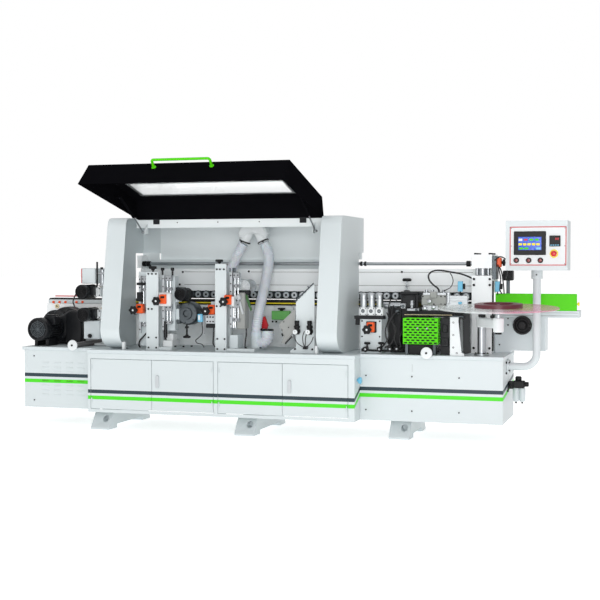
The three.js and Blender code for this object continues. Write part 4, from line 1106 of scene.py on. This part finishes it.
piece("handle_rosettes", [rod((x, -529, 1847), (x, -533, 1852), 16, 1, 28) for x in (1373, 1785)], "green",
    "lid")
piece("lid_window_frame", [brick((985, 2128), (-91, -89), (1776, 1782), 1)], "black", "lid")

# Guard plate: dark rod along its slope, sector plate and two pressure regulators
piece("guard_edge_rod", [tube(np.linspace((2160, 97, 946), (2296, 97, 1072), 12), 4.5, 12),
    rod((2262, 97, 1034), (2254, 97, 1052), 5, 1, 12)], "darkSteel")
piece("sector_plate", [slab([(2158, 892), (2158, 742), (2130, 706), (2098, 668), (2084, 640), (2056, 654),
    (2076, 700), (2046, 766), (2040, 782)], "y", 106, 109, 0.8)], "midGrey")
boltRow("sector_bolts", [(2076, 106, 800), (2110, 106, 762), (2062, 106, 742)], toFront, 8)
piece("sector_handle", [rod((2088, 100, 648), (2140, 90, 700), 5, 1, 12),
    rod((2070, 101, 700), (2062, 101, 720), 6, 1, 12)], "blackPlastic")
for label, x in (("one", 2176), ("two", 2268)):
    piece("regulator_%s" % label, [turned([(0, -26), (16, -26), (18, -22), (18, 18), (22, 22), (22, 34),
        (15, 38), (15, 46), (17, 48), (17, 66), (14, 70), (0, 70)], (x + 6, 72, 742), toTop),
        rod((x - 20, 72, 738), (x + 30, 72, 738), 8, 2, 16),
        brick((x - 10, x + 24), (70, 99), (722, 752), 4)], "blackPlastic")
    piece("regulator_%s_gauge" % label, [turned([(0, 0), (15, 0), (16.5, 2), (16.5, 8), (14, 9), (14, 7),
        (0, 7)], (x, 52, 734), toFront, 32)], "offWhite")
    piece("regulator_%s_needle" % label, [brick((x - 1, x + 1), (43.4, 44.4), (732, 744), 0.3),
        rod((x, 45, 734), (x, 43, 734), 2.5, 0.4, 12)], "blackPlastic")
regulatorTubes = [[(2160, 72, 720), (2166, 66, 690), (2190, 62, 655), (2222, 62, 634), (2240, 62, 628)],
                  [(2252, 72, 722), (2246, 64, 690), (2246, 62, 656), (2243, 62, 630)],
                  [(2236, 72, 740), (2226, 64, 700), (2230, 62, 660), (2240, 62, 630)],
                  [(2300, 72, 700), (2292, 64, 672), (2272, 62, 645), (2246, 62, 628)]]
piece("regulator_tubes", [tube(smoothPath(route, 30), 3.0, 8) for route in regulatorTubes], "cable")
piece("tube_bracket", [brick((2228, 2256), (58, 100), (614, 634), 3)], "blackPlastic")
boltRow("guard_plate_bolts", [(2160, 100, 612), (2286, 100, 612)], toFront, 14)
elbowRoute = [(1804, 300, 696), (1804, 300, 680), (1806, 300, 664), (1815, 300, 650), (1830, 300, 642),
    (1848, 300, 640), (1866, 300, 644), (1880, 302, 656), (1888, 304, 674), (1890, 306, 700),
    (1888, 308, 728)]
piece("port_elbow", [tube(smoothPath(elbowRoute, 110), 41, 40, (0.05, 15))], "hose", angle=80)
piece("elbow_clamp", [turned([(38, -12), (43.5, -12), (43.5, 0), (38, 0), (38, -12)], (1888, 308, 736),
    toTop, 40), rod((1850, 262, 730), (1862, 262, 742), 7, 1, 12)], "blackPlastic")
piece("hose_cuff", [turned([(37.5, -22), (43, -22), (43, 8), (37.5, 8), (37.5, -22)], (1804, 300, 706),
    toTop, 40)], "hose")
print("hood made")

# Main drive: motor, gearbox and chain wheel at the outfeed end
drive = {"x": 95, "z": 712, "front": 180, "back": 445, "radius": 88}
driveBarrel, driveGrille = motorShapes(drive["x"], drive["z"], drive["front"], drive["back"], drive["radius"])
driveBody = piece("main_motor", driveBarrel + [brick((110, 200), (255, 345), (742, 812), 8),
    brick((118, 192), (262, 338), (812, 820), 3), brick((35, 62), (240, 385), (bedLevel, 640), 3),
    brick((128, 155), (240, 385), (bedLevel, 640), 3)], "blackGloss")
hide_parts("drive_motor")
piece("main_motor_grille", driveGrille, "darkSteel")
gearbox = piece("worm_gearbox", [turned([(0, 0), (110, 0), (122, 6), (122, 16), (110, 24), (0, 24)],
    (100, 445, 728), toBack, 64), turned([(0, 0), (96, 0), (104, 10), (132, 16), (138, 26), (138, 124),
    (130, 133), (0, 133)], (170, 467, 735), toBack, 64), brick((60, 290), (484, 596), (bedLevel, 655), 8)],
    "blackGloss")
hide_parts("drive_gearbox")
boltRow("gearbox_bolts", [(100 + 108 * math.cos(a), 448, 728 + 108 * math.sin(a))
    for a in np.arange(10) * math.pi / 5 + 0.3], toFront, 13, "base", "darkSteel")
piece("breather_ring", [turned([(7, -5), (16, -5), (19, -2), (19, 3), (16, 6), (7, 6), (7, -5)],
    (104, 470, 878), toFront, 32)], "buff", "base")
boltRow("breather_bolt", [(104, 476, 878)], toFront, 12)
piece("chain_wheel_cover", [slab([(196, 600), (330, 600), (338, 700), (330, 790), (286, 850), (220, 868),
    (196, 850)], "y", 430, 470, 8)], "blackGloss")

# Buffing station
buffers = [(452, 999), (464, 826)]
for label, (x, z) in zip(("upper", "lower"), buffers):
    barrel, grille = motorShapes(x, z, 200, 404, 53)
    piece("buffing_motor_" + label, barrel + [brick((x + 34, x + 70), (252, 330), (z - 30, z + 44), 6)],
        "blackGloss")
    piece("buffing_grille_" + label, grille, "blackPlastic")
    layers = [turned([(0, 0), (56, 0), (61, 3), (56, 6), (0, 6)], (500, 520 + 7 * j, z), toBack, 48,
        (24, 0.02)) for j in range(10)]
    piece("buffing_wheel_" + label, layers, "buff")
    piece("buffing_spindle_" + label, [rod((500, 404, z), (500, 600, z), 12),
        rod((500, 512, z), (500, 520, z), 26, 2, 28)], "steel")
stand = piece("buffing_stand", [brick((516, 566), (410, 470), (bedLevel, 1060), 3),
    brick((456, 566), (400, 520), (bedLevel, 600), 3), brick((508, 560), (300, 412), (960, 1030), 4),
    brick((512, 560), (300, 412), (795, 862), 4)], "offWhite")
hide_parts("buffing_unit")
piece("buffing_case", [brick((428, 540), (256, 440), (1058, 1174), 5)], "white")
piece("buffing_case_edge", [brick((425, 429), (254, 438), (1060, 1172), 1)], "redPaint")
piece("case_knob", [rod((425, 330, 1120), (412, 330, 1120), 13, 2)], "redPaint")
piece("lift_rod", [rod((560, 250, 1040), (560, 250, 1222), 7, 1, 20),
    rod((592, 262, 1165), (592, 262, 1182), 11, 2, 16)], "blackPlastic")
piece("air_cylinder", [rod((598, 262, 1040), (598, 262, 1165), 19, 2, 32),
    brick((574, 622), (242, 284), (1036, 1052), 3), brick((570, 624), (240, 284), (1128, 1146), 3)],
    "steel")
piece("red_stop_bar", [brick((-6, 236), (640, 652), (948, 957))], "redPaint")
piece("spray_case", [brick((425, 560), (290, 398), (640, 778), 4)], "grey")
piece("spray_knob", [starKnob((482, 290, 664), toFront, 16, 18, 6)], "blackPlastic")
lead("buffing_lead", [(436, 330, 1004), (400, 326, 1004), (352, 322, 984), (330, 322, 952), (316, 330, 916),
    (322, 345, 880)], 50, 5)
lead("drive_lead", [(196, 300, 800), (240, 300, 812), (300, 330, 850), (352, 360, 830), (380, 380, 760),
    (372, 400, 660), (360, 410, 592)], 60, 6)
boltRow("buffing_bolts", [(x, 300, z) for x in (520, 552) for z in (805, 852, 970, 1020)], toFront, 9)

# Pull-out support arms
for side, x in (("left", 432), ("right", 3091)):
    body = "support_arm_" + side
    arm = piece("arm_tube_" + side, [rod((x, 106, 603.5), (x, 620, 603.5), 19, 1, 36)], "armGrey", body)
    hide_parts("support_arm_" + side)
    piece("arm_cap_" + side, [turned([(0, 2), (6, 2), (6, 0), (30, 0), (37, 3), (40, 9), (37, 16), (22, 18),
        (0, 18)], (x, 88.5, 603.5), toBack, 40)], "offWhite", body)
    boltRow("arm_bolt_" + side, [(x, 90, 603.5)], toFront, 15, body)

# Cabinets
louvre = [(149.5, 0.0), (149.5, 9.0), (146.2, 2.0), (146.6, 0.0)]
for finish, slotName, rows in (("white", "white_paint", (462, 426, 395, 290, 254, 222)),
    ("green", "green_paint", (330,))):
    piece("vent_louvres_" + finish, [slab([(y, z + row) for y, z in louvre], "x", x, x + 58, 0.5)
        for x in (149, 249, 349, 442) for row in rows], finish, "base")
    # Strips in the slits: the dark green in the green louvres is painted shade inside the openings, and the
    # white louvres get light grey paint.
    piece("vent_slits_" + finish, [brick((x + 2, x + 56), (149.0, 149.9), (row - 3.5, row + 0.5), 0.3)
                                   for x in (149, 249, 349, 442) for row in rows],
          "grey" if finish == "white" else "darkGreen", "base")
boltRow("left_cabinet_screws", [(x, 150, z) for x in (83, 590) for z in (514, 181)], toFront, 10)
boltRow("right_cabinet_screws", [(x, 150, z) for x in (2658, 2981, 3305) for z in (436, 200)], toFront, 10)
piece("cabinet_seams", [brick((2981.5, 2982.9), (149.4, 150.2), (470, 520), 0.2)], "midGrey")
piece("side_knob", [turned([(0, 0), (9, 0), (9, 6), (20, 9), (23, 14), (23, 26), (19, 30), (0, 30)],
    (2615.2, 76, 407), toRight, 32)], "blue")
boltRow("end_panel_screws", [(3600, y, z) for y in (290, 454) for z in (536, 464)], toRight, 16)
boltRow("back_cover_screws", [(x, 730, z) for x in (60, 560, 660, 1200, 1700, 2200, 2560, 2680, 3100, 3540)
    for z in (170, 520)], toBack, 10)
backVents = [slab([(880 - y, z + row) for y, z in louvre], "x", x, x + 110, 0.5)
    for x in (900, 1050, 1900, 2050, 3000) for row in range(280, 440, 24)]
piece("back_louvres", backVents, "white")
piece("back_cover_seams", [brick((x, x + 1.6), (729.6, 730.4), (150, 540), 0.2)
    for x in (640, 1180, 1720, 2260, 2580)], "midGrey")
for number, (x0, x1, hinge) in enumerate([(631, 1111, 0), (1114, 1584, 1), (1621, 2096, 0),
    (2099, 2567, 1)], 1):
    pin = x0 + 8 if hinge == 0 else x1 - 8
    piece("door_%d_hinges" % number, [rod((pin, -3.2, z), (pin, -3.2, z + 34), 3.2, 0.6, 16)
        for z in (200, 440)], "white", "door_%d" % number)

# Feet, air service unit and back fittings
footBolts = [(c + dx, y, 29) for c, front in ((700, 0), (1815, 0), (2891, 150)) for dx in (-45, 45)
    for y in (front + 40, 690)]
piece("levelling_bolts", [rod((x, y, 3), (x, y, 26), 9, 1, 6) for x, y, z in footBolts], "steel")
airBody = piece("air_service_body", [brick((3601, 3640), (422, 458), (345, 398), 5),
    brick((3632, 3712), (408, 472), (352, 402), 6),
    turned([(0, 0), (20, 0), (22, 3), (22, 24), (17, 30), (0, 30)], (3668, 440, 402), toTop, 32),
    rod((3712, 440, 378), (3738, 440, 378), 17, 3, 28)], "blackPlastic")
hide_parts("air_unit")
piece("air_service_rings", [rod((3640 + k, 440, 378), (3648 + k, 440, 378), 21, 1, 28) for k in (0, 62)],
    "blue")
piece("air_bowls", [turned([(0, 0), (12, 0), (20, 8), (23, 20), (23, 88), (20, 96), (0, 96)], (x, 440, 256),
    toTop, 32) for x in (3652, 3694)], "grey", "base")
piece("air_bowl_drains", [rod((x, 440, 244), (x, 440, 257), 6, 1, 12) for x in (3652, 3694)],
    "blackPlastic")
lead("air_inlet_tube", [(3612, 424, 372), (3608, 404, 366), (3606, 384, 350), (3604, 372, 330)], 24, 6)
print("left end and cabinets made")

# Floor
floorShape = np.array([(-60, -40, 0), (60, -40, 0), (60, 90, 0), (-60, 90, 0)], float)
floorMesh = bpy.data.meshes.new("floor")
floorMesh.from_pydata(floorShape, [], [(0, 1, 2, 3)])
floorMesh.materials.append(newFinish("floor", (0.94, 0.94, 0.94), 0.8, mottle=0.0, bump=0.0,
    Emission_Color=(1, 1, 1, 1), Emission_Strength=0.6))
floor = bpy.data.objects.new("floor", floorMesh)
bpy.context.scene.collection.objects.link(floor)

print("scene made")
